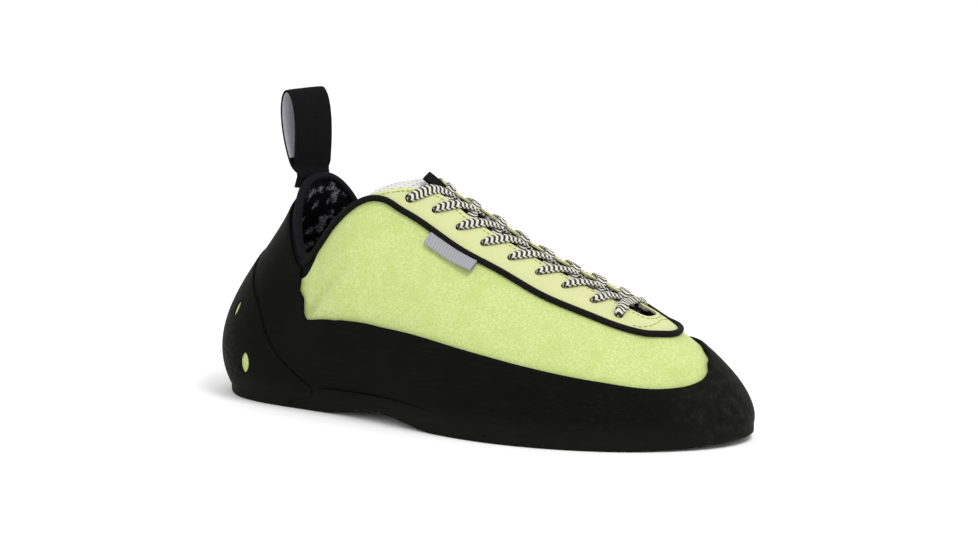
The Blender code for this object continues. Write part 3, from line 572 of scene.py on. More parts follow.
class Pattern:
    """A material's nodes, with the few steps that all finishes share."""

    def __init__(self, name: str, **shader: object) -> None:
        """Start a material whose shader has the given values on its own sockets."""
        self.material = bpy.data.materials.new(name)
        self.material.use_nodes = True
        self.tree = self.material.node_tree
        self.shader = self.tree.nodes["Principled BSDF"]
        for name, value in shader.items():
            self.shader.inputs[name.replace("_", " ")].default_value = value
        self.place = add_node(self.tree, "TexCoord").outputs["Object"]

    def parts(self, place: NodeSocket) -> list[NodeSocket]:
        """The three numbers of a place."""
        return list(add_node(self.tree, "SeparateXYZ", {0: place}).outputs)

    def surface(self) -> list[NodeSocket]:
        """Metres along the piece and across it, from its UV map."""
        return self.parts(add_node(self.tree, "UVMap", uv_map="UVMap").outputs["UV"])[:2]

    def stretched(self, scale: tuple[float, float, float], place: NodeSocket | None = None) -> NodeSocket:
        """The place times a scale on each axis."""
        inputs = {"Vector": place or self.place, "Scale": scale}
        return add_node(self.tree, "Mapping", inputs).outputs["Vector"]

    def noise(
        self, size: float, detail: float = 2.0, place: NodeSocket | None = None, roughness: float = 0.5
    ) -> NodeSocket:
        """Noise whose grains are about a size in metres."""
        inputs = {"Vector": place or self.place, "Scale": 1.0 / size}
        inputs |= {"Detail": detail, "Roughness": roughness}
        return add_node(self.tree, "TexNoise", inputs).outputs["Fac"]

    def math(self, operation: str, first: object, second: object = 0.0, third: object = 0.0) -> NodeSocket:
        """Result of a math node."""
        return add_node(self.tree, "Math", {0: first, 1: second, 2: third}, operation=operation).outputs[0]

    def ramp(
        self, value: NodeSocket, low: float, high: float, start: float = 0.0, end: float = 1.0
    ) -> NodeSocket:
        """Smooth step of a value from one range to another."""
        inputs = {"Value": value, "From Min": low, "From Max": high, "To Min": start, "To Max": end}
        return add_node(self.tree, "MapRange", inputs, interpolation_type="SMOOTHSTEP").outputs["Result"]

    def mixed(self, share: NodeSocket, first: object, second: object) -> NodeSocket:
        """Colour between two, each a hex code or a socket."""
        first = linear(first) if isinstance(first, str) else first
        second = linear(second) if isinstance(second, str) else second
        node = add_node(self.tree, "Mix", {0: share, 6: first, 7: second}, data_type="RGBA")
        return node.outputs[2]

    def colour(self, socket: NodeSocket) -> None:
        """Give the shader its colour."""
        self.tree.links.new(socket, self.shader.inputs["Base Color"])

    def roughness(self, socket: NodeSocket) -> None:
        """Give the shader its roughness."""
        self.tree.links.new(socket, self.shader.inputs["Roughness"])

    def bump(self, *heights: tuple[NodeSocket, float]) -> None:
        """Lay one relief over the other, each with its depth in metres."""
        normal = None
        for socket, depth in heights:
            inputs = {"Height": socket, "Distance": depth, "Strength": 1.0}
            if normal:
                inputs["Normal"] = normal
            normal = add_node(self.tree, "Bump", inputs).outputs["Normal"]
        self.tree.links.new(normal, self.shader.inputs["Normal"])


@dataclass(frozen=True)
class Microfibre:
    """Napped synthetic suede, cut from dyed non-woven: even, matte and softly grained, with a faint sheen."""

    name: str
    light: str
    dark: str
    tint: str
    nap: float = 0.75 * MM
    cloud: float = 9.0 * MM
    depth: float = 0.10 * MM
    rough: float = 0.85

    def make(self) -> Material:
        """Build the material."""
        pattern = Pattern(self.name, Roughness=self.rough, Sheen_Weight=0.15, Sheen_Roughness=0.5, IOR=1.45)
        grain = pattern.noise(self.nap, 3.0)
        cloud = pattern.noise(self.cloud, 2.0)
        base = pattern.mixed(pattern.ramp(grain, 0.35, 0.65), self.dark, self.light)
        pattern.colour(pattern.mixed(pattern.ramp(cloud, 0.4, 0.75, 0.0, 0.5), base, self.tint))
        pattern.bump((grain, self.depth), (pattern.noise(self.nap * 3.0), self.depth))
        return pattern.material


@dataclass(frozen=True)
class Rubber:
    """Black sticky rubber, glued on and sanded along the shoe: matte, with fine streaks from the belt and a
    painted highlight on the toe.
    """

    name: str
    base: str = "#060704"
    streak: str = "#11120e"
    streak_size: tuple[float, float, float] = (30.0 * MM, 1.2 * MM, 0.7 * MM)
    depth: float = 0.04 * MM
    rough: tuple[float, float] = (0.55, 0.75)
    # Tone of the painted highlight on the toe, and the x in the object's frame from which it starts
    highlight_tone: str = "#24241f"
    highlight_from: float = 0.098

    def make(self) -> Material:
        """Build the material."""
        pattern = Pattern(self.name, IOR=1.5, Specular_IOR_Level=0.05)
        scale = tuple(1.0 / size for size in self.streak_size)
        streaks = pattern.noise(1.0, 3.0, pattern.stretched(scale), 0.6)
        dust = pattern.noise(14.0 * MM, 3.0)
        streaked = pattern.ramp(streaks, 0.42, 0.72)
        share = pattern.math("MULTIPLY", streaked, pattern.ramp(dust, 0.3, 0.7, 0.35, 1.0))
        worn = pattern.mixed(share, self.base, self.streak)
        # Painted highlight: the toe is lightened in patches towards the highlight tone; the band nearest the
        # floor is also lighter, by up to 0.22 of the way
        ahead, _, height = pattern.parts(pattern.place)
        toe = pattern.ramp(ahead, self.highlight_from, self.highlight_from + 0.03)
        highlight_patches = pattern.ramp(pattern.noise(4.0 * MM, 6.0, None, 0.7), 0.4, 0.75, 0.1, 0.8)
        low = pattern.ramp(height, 0.004, 0.015, 0.22, 0.0)
        highlight_and_low_band = pattern.math("MAXIMUM", pattern.math("MULTIPLY", toe, highlight_patches), low)
        pattern.colour(pattern.mixed(highlight_and_low_band, worn, self.highlight_tone))
        pattern.roughness(pattern.ramp(streaks, 0.3, 0.7, *self.rough))
        pattern.bump((streaks, self.depth), (pattern.noise(0.5 * MM), self.depth * 0.6))
        return pattern.material


@dataclass(frozen=True)
class Webbing:
    """Woven nylon: fine ribs across the tape or along it, a little coarser than life so that they show."""

    name: str
    base: str = "#050506"
    rib: str = "#121214"
    pitch: float = 0.9 * MM
    along: bool = True
    depth: float = 0.12 * MM
    rough: float = 0.75

    def make(self) -> Material:
        """Build the material."""
        pattern = Pattern(self.name, Roughness=self.rough, IOR=1.5, Specular_IOR_Level=0.06)
        first, second = pattern.surface()
        if not self.along:
            first, second = second, first
        rib = self.wave(pattern, first, self.pitch)
        thread = self.wave(pattern, second, self.pitch * 0.8)
        weave = pattern.math("MULTIPLY_ADD", thread, 0.35, pattern.math("MULTIPLY", rib, 0.65))
        weave = pattern.math("MULTIPLY", weave, pattern.ramp(pattern.noise(2.5 * MM), 0.2, 0.8, 0.6, 1.0))
        pattern.colour(pattern.mixed(weave, self.base, self.rib))
        pattern.bump((weave, self.depth))
        return pattern.material

    @staticmethod
    def wave(pattern: Pattern, place: NodeSocket, pitch: float) -> NodeSocket:
        """Rounded wave from 0 to 1 of a pitch."""
        turned = pattern.math("SINE", pattern.math("MULTIPLY", place, 2.0 * math.pi / pitch))
        return pattern.math("MULTIPLY_ADD", turned, 0.5, 0.5)


@dataclass(frozen=True)
class BraidedLace:
    """Flat braided polyester lace: chevrons of black and off-white carriers that meet on its middle line."""

    name: str = "braided_polyester"
    dark: str = "#0b0b0b"
    pale: str = "#c9c7b8"
    pitch: float = 2.2 * MM
    slant: float = 1.1 * MM
    rows: float = 8.0

    def make(self) -> Material:
        """Build the material."""
        pattern = Pattern(self.name, Roughness=0.7, Sheen_Weight=0.1, IOR=1.5, Specular_IOR_Level=0.3)
        along, across = pattern.surface()
        wave = pattern.math("PINGPONG", pattern.math("MULTIPLY", across, self.rows), 1.0)
        place = pattern.math("MULTIPLY_ADD", wave, self.slant, along)
        fold = pattern.math("PINGPONG", pattern.math("MULTIPLY", place, 2.0 / self.pitch), 1.0)
        pattern.colour(pattern.mixed(pattern.ramp(fold, 0.42, 0.58), self.dark, self.pale))
        strand = pattern.math("PINGPONG", pattern.math("MULTIPLY", place, 4.0 / self.pitch), 1.0)
        pattern.bump((strand, 0.18 * MM))
        return pattern.material


@dataclass(frozen=True)
class KnitLining:
    """Brushed knit lining: black with grey blotches of painted sheen where the pile lies flat."""

    name: str = "brushed_knit"
    base: str = "#09090b"
    sheen_blotch: str = "#9c9ca6"

    def make(self) -> Material:
        """Build the material."""
        pattern = Pattern(self.name, Roughness=0.95, IOR=1.45, Specular_IOR_Level=0.1)
        # Painted sheen: grey blotches, grained by the pile
        shape = pattern.ramp(pattern.noise(6.0 * MM, 3.0), 0.52, 0.64)
        pile = pattern.noise(0.7 * MM, 3.0)
        share = pattern.math("MULTIPLY", shape, pattern.ramp(pile, 0.3, 0.7))
        pattern.colour(pattern.mixed(share, self.base, self.sheen_blotch))
        pattern.bump((pile, 0.3 * MM))
        return pattern.material


@dataclass(frozen=True)
class PerforatedFoam:
    """White knit over foam, punched with small holes in a square grid, each a grey dot of painted shade with
    a bump.
    """

    name: str = "perforated_foam"
    base: str = "#c9cac8"
    # Painted shade in the holes
    hole: str = "#4a4b50"
    pitch: float = 3.1 * MM
    bore: float = 0.8 * MM

    def make(self) -> Material:
        """Build the material."""
        pattern = Pattern(self.name, Roughness=0.85, Sheen_Weight=0.1, IOR=1.45)
        first, second = (self.offset(pattern, place) for place in pattern.surface())
        away = pattern.math("SQRT", pattern.math("ADD", first, second))
        solid = pattern.ramp(away, self.bore * 0.35 / self.pitch, self.bore * 0.75 / self.pitch)
        pattern.colour(pattern.mixed(solid, self.hole, self.base))
        pattern.bump((solid, 0.35 * MM), (pattern.noise(0.5 * MM), 0.06 * MM))
        return pattern.material

    def offset(self, pattern: Pattern, place: NodeSocket) -> NodeSocket:
        """Square of the distance, in pitches, to the nearest hole along one direction."""
        share = pattern.math("FRACT", pattern.math("MULTIPLY", place, 1.0 / self.pitch))
        return pattern.math("POWER", pattern.math("ABSOLUTE", pattern.math("SUBTRACT", share, 0.5)), 2.0)


@dataclass(frozen=True)
class TwillRibbon:
    """Grey woven ribbon with a fine diagonal twill."""

    name: str = "woven_ribbon"
    base: str = "#64666a"
    rib: str = "#a9abae"
    pitch: float = 0.95 * MM

    def make(self) -> Material:
        """Build the material."""
        pattern = Pattern(self.name, Roughness=0.7, Sheen_Weight=0.1, IOR=1.5)
        weave = Webbing.wave(pattern, pattern.math("ADD", *pattern.surface()), self.pitch)
        pattern.colour(pattern.mixed(weave, self.base, self.rib))
        pattern.bump((weave, 0.1 * MM))
        return pattern.material


@dataclass(frozen=True)
class Thread:
    """Bonded sewing thread."""

    name: str
    base: str

    def make(self) -> Material:
        """Build the material."""
        pattern = Pattern(self.name, Roughness=0.6, IOR=1.5)
        grain = pattern.noise(0.4 * MM)
        pattern.colour(pattern.mixed(pattern.ramp(grain, 0.3, 0.7, 0.0, 0.35), self.base, "#4c5828"))
        pattern.bump((grain, 0.05 * MM))
        return pattern.material


@dataclass(frozen=True)
class Crease:
    """Soft fold pressed into the wall, from one place to another, on one side."""

    side: Side
    start: tuple[float, float]
    end: tuple[float, float]
    depth: float
    width: float

    def depths(self, last: Last, way: Array, height: Array) -> Array:
        """How far the fold presses in at distances round the last and heights above the floor."""
        foot = np.array([last.way(self.start[0], self.side), self.start[1]])
        head = np.array([last.way(self.end[0], self.side), self.end[1]])
        offset = np.stack((way, height), axis=-1) - foot
        run = head - foot
        share = np.clip(offset @ run / (run @ run), 0.0, 1.0)
        away = np.linalg.norm(offset - share[..., None] * run, axis=-1)
        return self.depth * np.exp(-((away / self.width) ** 2)) * (1.0 - 0.5 * share)


@dataclass
class Wall:
    """Shared work of all that is cut from the last: even columns round it, rows between two lines."""

    last: Last
    columns: int = 480

    def ways(self) -> Array:
        """Even distances round the whole last; the first and the last are one place."""
        return np.linspace(0.0, self.last.round, self.columns + 1)

    def span(self, section: float, count: int) -> Array:
        """Even distances through the toe tip, from a section on the inner side to it on the outer side."""
        reach = self.last.way(section)
        return np.linspace(-reach, reach, count)

    def heel_span(self, section: float, count: int) -> Array:
        """Even distances round the heel, from a section on the outer side to it on the inner side."""
        reach = self.last.way(section)
        return np.linspace(reach, self.last.round - reach, count)

    def band(self, ways: Array, low: Array, high: Array, rows: int, lift: object) -> Array:
        """Points between two runs of shares; the lift may depend on the row's share from 0 to 1."""
        rise = np.linspace(0.0, 1.0, rows + 1)
        shares = low[:, None] + (high - low)[:, None] * rise
        lifts = lift(ways[:, None], shares, rise[None, :]) if callable(lift) else lift
        return self.last.point(np.broadcast_to(ways[:, None], shares.shape), shares, lifts)


@dataclass
class Sole(Wall):
    """Outsole: a plate under the whole shoe, a little wider than the last's foot."""

    rounding: float = 0.0012
    outset: float = 0.0025
    steps: int = 24
    corner_steps: int = 5

    def ring(self, ways: Array, outset: float, height: float) -> Array:
        """Points round the foot of the last, outset from it, above the sole's underside."""
        foot = self.last.face(ways, 0.0)
        step = self.last.face(ways + NEARBY, 0.0) - self.last.face(ways - NEARBY, 0.0)
        outward = unit(np.stack((-step[:, 1], step[:, 0]), axis=1))
        ring = foot.copy()
        ring[:, 0:2] += outward * outset
        ring[:, 2] = self.last.underside(foot[:, 0] - self.last.origin[0]) + height
        return ring

    def across(self, start: Array, end: Array, height: float) -> list[Array]:
        """Lines of points between two edges, at a height above the sole's underside."""
        lines = [start + (end - start) * i / self.steps for i in range(1, self.steps)]
        for line in lines:
            line[:, 2] = self.last.underside(line[:, 0] - self.last.origin[0]) + height
        return lines

    def build(self, rubber: Material) -> None:
        """Make the outsole: loops of points across it, from the toe tip to the heel."""
        half = self.columns // 2
        outer = np.linspace(0.0, self.last.way(len(SECTIONS) - 1), half + 1)
        inner = self.last.round - outer
        side = [(self.outset, self.last.sole_wall)]
        for i in range(self.corner_steps + 1):
            angle = math.pi / 2.0 * i / self.corner_steps
            side.append((
                self.outset - self.rounding * (1.0 - math.cos(angle)),
                self.rounding * (1.0 - math.sin(angle)),
            ))
        near = [self.ring(outer, outset, height) for outset, height in side]
        far = [self.ring(inner, outset, height) for outset, height in reversed(side)]
        under = self.across(near[-1], far[0], 0.0)
        top = self.across(far[-1], near[0], self.last.sole_wall)
        grid = np.stack(near + under + far + top + [near[0]], axis=1)
        piece = new_surface("outsole_plate", grid, metric_uv(grid), merge=True)
        close_ends(piece)
        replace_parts(settle(piece, rubber), "outsole")


@dataclass
class Rubbers(Wall):
    """Rubber over the upper: the rand round the shoe, the wrap at the arch and the moulded heel cup."""

    rand_wall: float = 0.0018
    cup_wall: float = 0.0024
    cup_end: float = 8.5
    cup_gap: float = 0.02
    edge_step: float = 0.0003
    rand_rows: int = 44
    flare: float = 0.0004
    flare_heights: tuple[float, float] = (0.006, 0.016)
    thinned: float = 0.0004
    thinned_from: float = 0.975
    rear_sections: tuple[float, ...] = (8.84, 9.38, 9.75, 9.92)
    rear_rises: tuple[float, ...] = (0.0, 0.009, 0.0125, 0.019)
    strip_sections: tuple[float, ...] = (9.9, 10.4, 11.0, 11.8, 13.0)
    strips: tuple[float, ...] = (0.0045, 0.0030, 0.0045, 0.0080, 0.0075)
    slots: tuple = ((10.64, 0.283, 0.0100, 0.0050), (11.39, 0.615, 0.0086, 0.0036))
    cut_through: float = 2.2
    cloth_wall: float = 0.0014
    cloth_depth: float = 0.0008
    wrap_sections: tuple[float, ...] = (4.6, 5.4, 6.4, 8.1, 8.6, 9.4)
    wrap_heights: tuple[float, ...] = (0.0030, 0.0100, 0.0125, 0.0120, 0.0070, 0.0035)
    wrap_fades: tuple[float, float] = (5.2, 6.4)
    wrap_proud: float = 0.0007
    wrap_sunk: float = 0.0002

    def rand_top(self, ways: Array) -> Array:
        """Shares at which the rand ends: its line on the quarter, its rear rise, and the collar's strip."""
        section = self.last.section(ways)
        rounded = self.last.rand_height * self.last.edge("rand", ways)
        rounded = rounded + steady_curve(np.array(self.rear_sections), np.array(self.rear_rises), section)
        top = self.last.share_at_height(ways, rounded, self.last.gap + self.rand_wall)
        strip = self.last.share_below_edge(ways, np.interp(section, self.strip_sections, self.strips))
        return np.where(section > self.rear_sections[-1], strip, np.minimum(top, strip))

    def rand_ways(self) -> Array:
        """Columns of the rand, with a close pair at the quarter's rear edge on both sides."""
        edge = self.last.way(self.rear_sections[-1])
        after = edge + self.edge_step
        extra = [edge, after, self.last.round - edge, self.last.round - after]
        return np.unique(np.round(np.append(self.ways(), extra), 7))

    def build_rand(self, rubber: Material) -> None:
        """Make the rand, thinned to its edge and blended into the sole's side."""
        ways = self.rand_ways()

        def lift(way: Array, share: Array, rise: Array) -> Array:
            """The wall's thickness, a little more at the sole and less at the edge."""
            height = self.last.face(way, share)[..., 2]
            lifts = self.last.gap + self.rand_wall + self.flare * (1.0 - eased(height, *self.flare_heights))
            return lifts - self.thinned * eased(rise, self.thinned_from, 1.0)

        grid = self.band(ways, np.full(len(ways), BELOW_FOOT), self.rand_top(ways), self.rand_rows, lift)
        piece = new_shell("rand_rubber", grid, self.rand_wall, 0.3 * MM)
        self.cut_slots(piece)
        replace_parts(settle(piece, rubber), "rand")

    def build_wrap(self, rubber: Material) -> None:
        """Make the sole's rubber drawn up over the rand at the arch, with a step at its upper edge."""
        for side in Side:
            ends = [self.last.way(self.wrap_sections[i], side) for i in (0, -1)]
            ways = np.linspace(min(ends), max(ends), 160)
            section = self.last.section(ways)
            line = steady_curve(np.array(self.wrap_sections), np.array(self.wrap_heights), section)
            high = self.last.share_at_height(ways, line, self.last.gap + self.rand_wall)
            proud = self.wrap_proud * eased(section, *self.wrap_fades) - self.wrap_sunk
            lifts = self.last.gap + self.rand_wall + self.flare + proud
            grid = self.band(ways, np.full(len(ways), BELOW_FOOT), high, 10, lifts[:, None])
            piece = new_shell(f"sole_wrap_{side.name.lower()}", grid, 1.0 * MM, 0.2 * MM)
            settle(piece, rubber)

    def build_cup(self, rubber: Material) -> None:
        """Make the heel cup and cut its slots."""
        ways = self.heel_span(self.cup_end + self.cup_gap, 200)
        height = self.last.edge("cup", ways) * self.last.cup_height
        high = self.last.share_at_height(ways, height, self.last.gap)
        grid = self.band(ways, np.full(len(ways), BELOW_FOOT), high, 48, self.last.gap + self.cup_wall)
        piece = new_shell("heel_cup_rubber", grid, self.cup_wall, 0.6 * MM)
        self.cut_slots(piece)
        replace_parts(settle(piece, rubber), "heel_cup")

    def cut_slots(self, piece: Object) -> None:
        """Cut the four slots through a piece."""
        middle = self.last.gap + self.cup_wall / 2.0
        through = self.cut_through * self.cup_wall
        for cutter in [self.leaf(slot, side, through, middle) for slot in self.slots for side in Side]:
            apply_modifier(piece, "BOOLEAN", object=cutter, operation="DIFFERENCE", solver="EXACT")
            bpy.data.objects.remove(cutter, do_unlink=True)

    def fill_slots(self, suede: Material) -> None:
        """Lay the upper's cloth into the slots, a little below the rubber's face."""
        lift = self.last.gap + self.cup_wall - self.cloth_depth - self.cloth_wall / 2.0
        for number, (section, height, length, width) in enumerate(self.slots):
            cloth = (section, height, length * 1.1, width * 1.2)
            for side in Side:
                piece = self.leaf(cloth, side, self.cloth_wall, lift)
                piece.name = piece.data.name = f"slot_cloth_{number}_{side.name.lower()}"
                settle(piece, suede)

    def leaf(
        self, slot: tuple[float, float, float, float], side: Side, thickness: float, lift: float
    ) -> Object:
        """Leaf-shaped block upright along the wall, such as a slot's cutter.

        Args:
            slot: Section, height as a share of the cup's, length and width.
            side: Side of the shoe.
            thickness: Its thickness across the wall.
            lift: Distance of its middle outside the last's face.

        Returns:
            The new object.
        """
        section, height, length, width = slot
        way = np.array([self.last.way(section, side)])
        share = self.last.share_at_height(way, np.array([height * self.last.cup_height]))
        centre = self.last.point(way, share, lift)[0]
        normal = Vector(self.last.normal(way, share)[0])
        along = Vector((self.last.face(way, share + 0.01) - self.last.face(way, share))[0]).normalized()
        deselect()
        bpy.ops.mesh.primitive_cylinder_add(vertices=28, radius=0.5, depth=1.0)
        piece = bpy.context.object
        for vertex in piece.data.vertices:
            x, y, z = vertex.co
            pointed = math.copysign(abs(2.0 * y) ** 1.3, y) / 2.0
            vertex.co = (x * length, pointed * width, z * thickness)
        turn = Matrix((along, normal.cross(along), normal)).transposed().to_4x4()
        piece.data.transform(Matrix.Translation(Vector(centre)) @ turn)
        return piece


@dataclass
class Upper(Wall):
    """Quarter and vamp, eyestay, lining, collar panel, piping, binding, tag and seams."""

    piping_radius: float = 0.0013
    piping_end: float = 9.95
    rounding: float = 0.0065
    binding_radius: float = 0.0016
    binding_start: float = 9.7
    collar_fades: tuple[float, float] = (7.9, 8.2)
    panel: tuple[float, float, float, float] = (9.12, 9.75, 0.0010, 0.0085)
    eyestay_end: float = 8.05
    eyestay_seam: float = 0.0002
    eyestay_lift: float = 0.0003
    turned_in: float = 0.0005
    dip: float = 0.45 * MM
    dip_radius: float = 3.6 * MM
    lining_depth: float = 0.00102
    lining_wall: float = 0.00095
    depth_places: tuple = (0.0, 0.125, 0.25, 0.8, 1.0)
    eyelet_depths: tuple = (0.0062, 0.0080, 0.0072, 0.0070, 0.0082)
    eyelet_bore: float = 0.0040
    eyelet_places: tuple = (0.0, 0.25, 0.5, 0.75, 1.0)
    eyelet_sections: tuple = (7.24, 5.93, 4.84, 3.76, 2.53)
    tag: tuple[float, float, float] = (5.28, 6.34, 0.0066)
    tag_gape: float = 0.0014
    tag_fold: float = 0.0011
    tag_outline: tuple = (
        (0.0, 0.0, 0.4), (0.5, 0.0, 0.7), (0.92, 0.0, 1.0), (1.0, 0.4, 1.2), (1.0, 0.5, 1.7),
        (1.0, 0.1, 2.1), (0.92, 0.0, 2.2), (0.5, 0.0, 2.0), (0.0, 0.0, 1.4),
    )
    throat_seam: tuple[float, float] = (7.95, 0.0021)
    front_seam: tuple = ((0.0, 1.0, 1.5, 2.15), (0.0035, 0.0055, 0.0075, 0.0105))
    stitch_pitch: float = 2.3 * MM
    stitch: tuple[float, float, float] = (1.7 * MM, 0.45 * MM, 0.34 * MM)
    creases: tuple[Crease, ...] = (
        Crease(Side.OUTER, (8.95, 0.046), (8.15, 0.066), 2.6 * MM, 2.8 * MM),
        Crease(Side.OUTER, (6.2, 0.046), (7.6, 0.058), 0.35 * MM, 8.0 * MM),
        Crease(Side.OUTER, (2.4, 0.036), (1.6, 0.046), 0.3 * MM, 7.0 * MM),
        Crease(Side.INNER, (8.95, 0.046), (8.1, 0.064), 0.8 * MM, 6.0 * MM),
        Crease(Side.INNER, (4.6, 0.042), (5.6, 0.060), 0.45 * MM, 9.0 * MM),
    )

    def sections(self) -> list[float]:
        """Sections of the nine eyelets on one side, from the ankle to the toe."""
        return [float(np.interp(i / 8, self.eyelet_places, self.eyelet_sections)) for i in range(9)]

    def depth(self, section: float) -> float:
        """Distance of the eyelet at a section below the throat's edge."""
        place = np.interp(-section, [-here for here in self.eyelet_sections], self.eyelet_places)
        return float(np.interp(place, self.depth_places, self.eyelet_depths))

    def hole(self, section: float, side: Side, lift: float = 0.0) -> tuple[Array, Array]:
        """Middle of an eyelet and the direction out of it."""
        return self.last.spot(section, side, self.depth(section), lift)

    def holes(self) -> list[tuple[Array, Array]]:
        """Middles and directions of all eyelets."""
        return [self.hole(section, side) for section in self.sections() for side in Side]

    def relief(self, way: Array, share: Array) -> Array:
        """How far the creases press the outer face in."""
        height = self.last.face(way, share)[..., 2]
        way = np.broadcast_to(np.mod(way, self.last.round), height.shape)
        return sum(crease.depths(self.last, way, height) for crease in self.creases)

    def piping_below(self, ways: Array) -> Array:
        """Distances of the piping's line below the top edge, rounded over a few millimetres."""
        near = np.linspace(-self.rounding, self.rounding, 13)
        lines = [self.last.edge("piping", ways + step) for step in near]
        return np.mean(lines, axis=0) * self.last.eyestay_width

    def build_quarter(self, suede: Material) -> None:
        """Make the panel from the sole to the piping, and on to the collar's edge behind it."""
        ways = self.ways()
        below = self.piping_below(ways) * (1.0 - eased(self.last.section(ways), *self.collar_fades))
        high = self.last.share_below_edge(ways, below)
        grid = self.band(ways, np.zeros(len(ways)), high, 52, lambda way, share, _: -self.relief(way, share))
        piece = new_shell("quarter_and_vamp", grid, 1.0 * MM)
        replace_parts(settle(piece, suede), "upper")

    def build_eyestay(self, suede: Material) -> None:
        """Make the smooth panel between the piping and the throat's edge, and punch its eyelets."""
        ways = self.span(self.eyestay_end, 420)
        low = self.last.share_below_edge(ways, self.piping_below(ways) + self.eyestay_seam)

        def lift(way: Array, share: Array, rise: Array) -> Array:
            """A little above the quarter, with the edge turned in."""
            lifts = self.eyestay_lift - self.turned_in * eased(rise, 0.93, 1.0)
            return lifts + np.zeros(np.broadcast(way, share).shape)

        grid = self.band(ways, low, np.ones(len(ways)), 22, lift)
        for centre, normal in self.holes():
            away = np.linalg.norm(grid - centre, axis=2)[..., None]
            grid = grid - normal * self.dip * np.exp(-((away / self.dip_radius) ** 2))
        piece = new_shell("eyestay", grid, 1.2 * MM, 0.3 * MM)
        deselect()
        for centre, normal in self.holes():
            turn = Vector(normal).to_track_quat("Z", "Y").to_euler()
            radius = self.eyelet_bore / 2.0
            bpy.ops.mesh.primitive_cylinder_add(
                vertices=24, radius=radius, depth=6.0 * MM, location=centre, rotation=turn
            )
            cutter = bpy.context.object
            apply_modifier(piece, "BOOLEAN", object=cutter, operation="DIFFERENCE", solver="EXACT")
            bpy.data.objects.remove(cutter, do_unlink=True)
        settle(piece, suede, 30.0)

    def build_lining(self, knit: Material) -> None:
        """Make the lining on the inside of the wall, from the insole to the top edge."""
        ways = self.ways()
        low, high = np.zeros(len(ways)), np.ones(len(ways))
        depth = self.lining_depth
        grid = self.band(ways, low, high, 36, lambda way, share, _: -depth - self.relief(way, share))
        settle(new_shell("lining", grid, self.lining_wall), knit)

    def build_collar_panel(self, webbing: Material) -> None:
        """Make the ribbed elastic round the heel side of the collar."""
        start, full, least, most = self.panel
        ways = self.heel_span(start, 220)
        reach = most - (most - least) * (1.0 - eased(self.last.section(ways), start, full))
        low = self.last.share_below_edge(ways, reach)
        grid = self.band(ways, low, np.ones(len(ways)), 14, 0.3 * MM)
        settle(new_shell("collar_elastic", grid, 0.3 * MM, 0.0), webbing)

    def build_piping(self, webbing: Material) -> None:
        """Make the piping: up the collar, down the eyestay's border, round the vamp and back."""
        ways = self.span(self.piping_end, 420)
        below = self.piping_below(ways)
        radius = self.piping_radius
        points = self.last.along_edge(ways, below, radius * 0.75)
        normals = self.last.normal(ways, self.last.share_below_edge(ways, below))
        piece = new_sweep("collar_piping", points, normals, oval(2.15 * radius, 2.0 * radius, 14, 0.9))
        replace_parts(settle(piece, webbing, 60.0), "piping")

    def build_binding(self, webbing: Material) -> None:
        """Make the bound edge round the heel side of the collar."""
        ways = self.heel_span(self.binding_start, 260)
        radius = self.binding_radius
        up = self.last.edge_up(ways)
        points = self.last.point(ways, 1.0, -radius * 0.7) + 0.4 * radius * up
        piece = new_sweep("collar_binding_tape", points, up, oval(2.3 * radius, 2.2 * radius, 16, 0.85))
        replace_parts(settle(piece, webbing, 60.0), "collar_binding")

    def build_tag(self, ribbon: Material) -> None:
        """Make the small folded ribbon whose top edge is caught under the piping."""
        start, end, width = self.tag
        ways = np.linspace(self.last.way(start), self.last.way(end), 40)
        top = self.piping_below(ways) + 0.6 * MM
        gape = self.tag_gape * (1.0 - eased(np.linspace(0.0, 1.0, len(ways)), 0.0, 0.45))
        outline = [(share * width + past * MM, lift * MM) for share, past, lift in self.tag_outline]
        lifts = [lift + gape * (lift > self.tag_fold) * below / width for below, lift in outline]
        columns = [self.last.along_edge(ways, top + below, lift) for (below, _), lift in zip(outline, lifts)]
        grid = np.stack(columns[::-1], axis=1)
        piece = new_surface("side_ribbon", grid, metric_uv(grid))
        apply_modifier(piece, "SUBSURF", levels=1, render_levels=1)
        apply_modifier(piece, "SOLIDIFY", thickness=0.3 * MM, offset=1.0)
        face_outward(piece)
        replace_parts(settle(piece, ribbon), "side_tag")

    def build_seams(self, thread: Material) -> None:
        """Sew the rows of stitches: one along the throat's edge, one across the front of the eyestay."""
        throat = self.span(self.throat_seam[0], 2400)
        sections, distances = self.front_seam
        front = self.span(sections[-1], 600)
        front_below = np.interp(self.last.section(front), sections, distances)
        places, directions, normals = [], [], []
        for run, below in ((throat, np.full(len(throat), self.throat_seam[1])), (front, front_below)):
            row = self.last.along_edge(run, below, 0.35 * MM)
            length = np.append(0.0, np.cumsum(np.linalg.norm(np.diff(row, axis=0), axis=1)))
            at = np.arange(1.0 * MM, length[-1], self.stitch_pitch)
            index = np.searchsorted(length, at).clip(1, len(row) - 2)
            places.append(row[index])
            directions.append(unit(row[index + 1] - row[index - 1]))
            share = self.last.share_below_edge(run[index], below[index])
            normals.append(self.last.normal(run[index], share))
        runs = [np.concatenate(part) for part in (places, directions, normals)]
        settle(self.sew("eyestay_stitches", *runs), thread, 60.0)

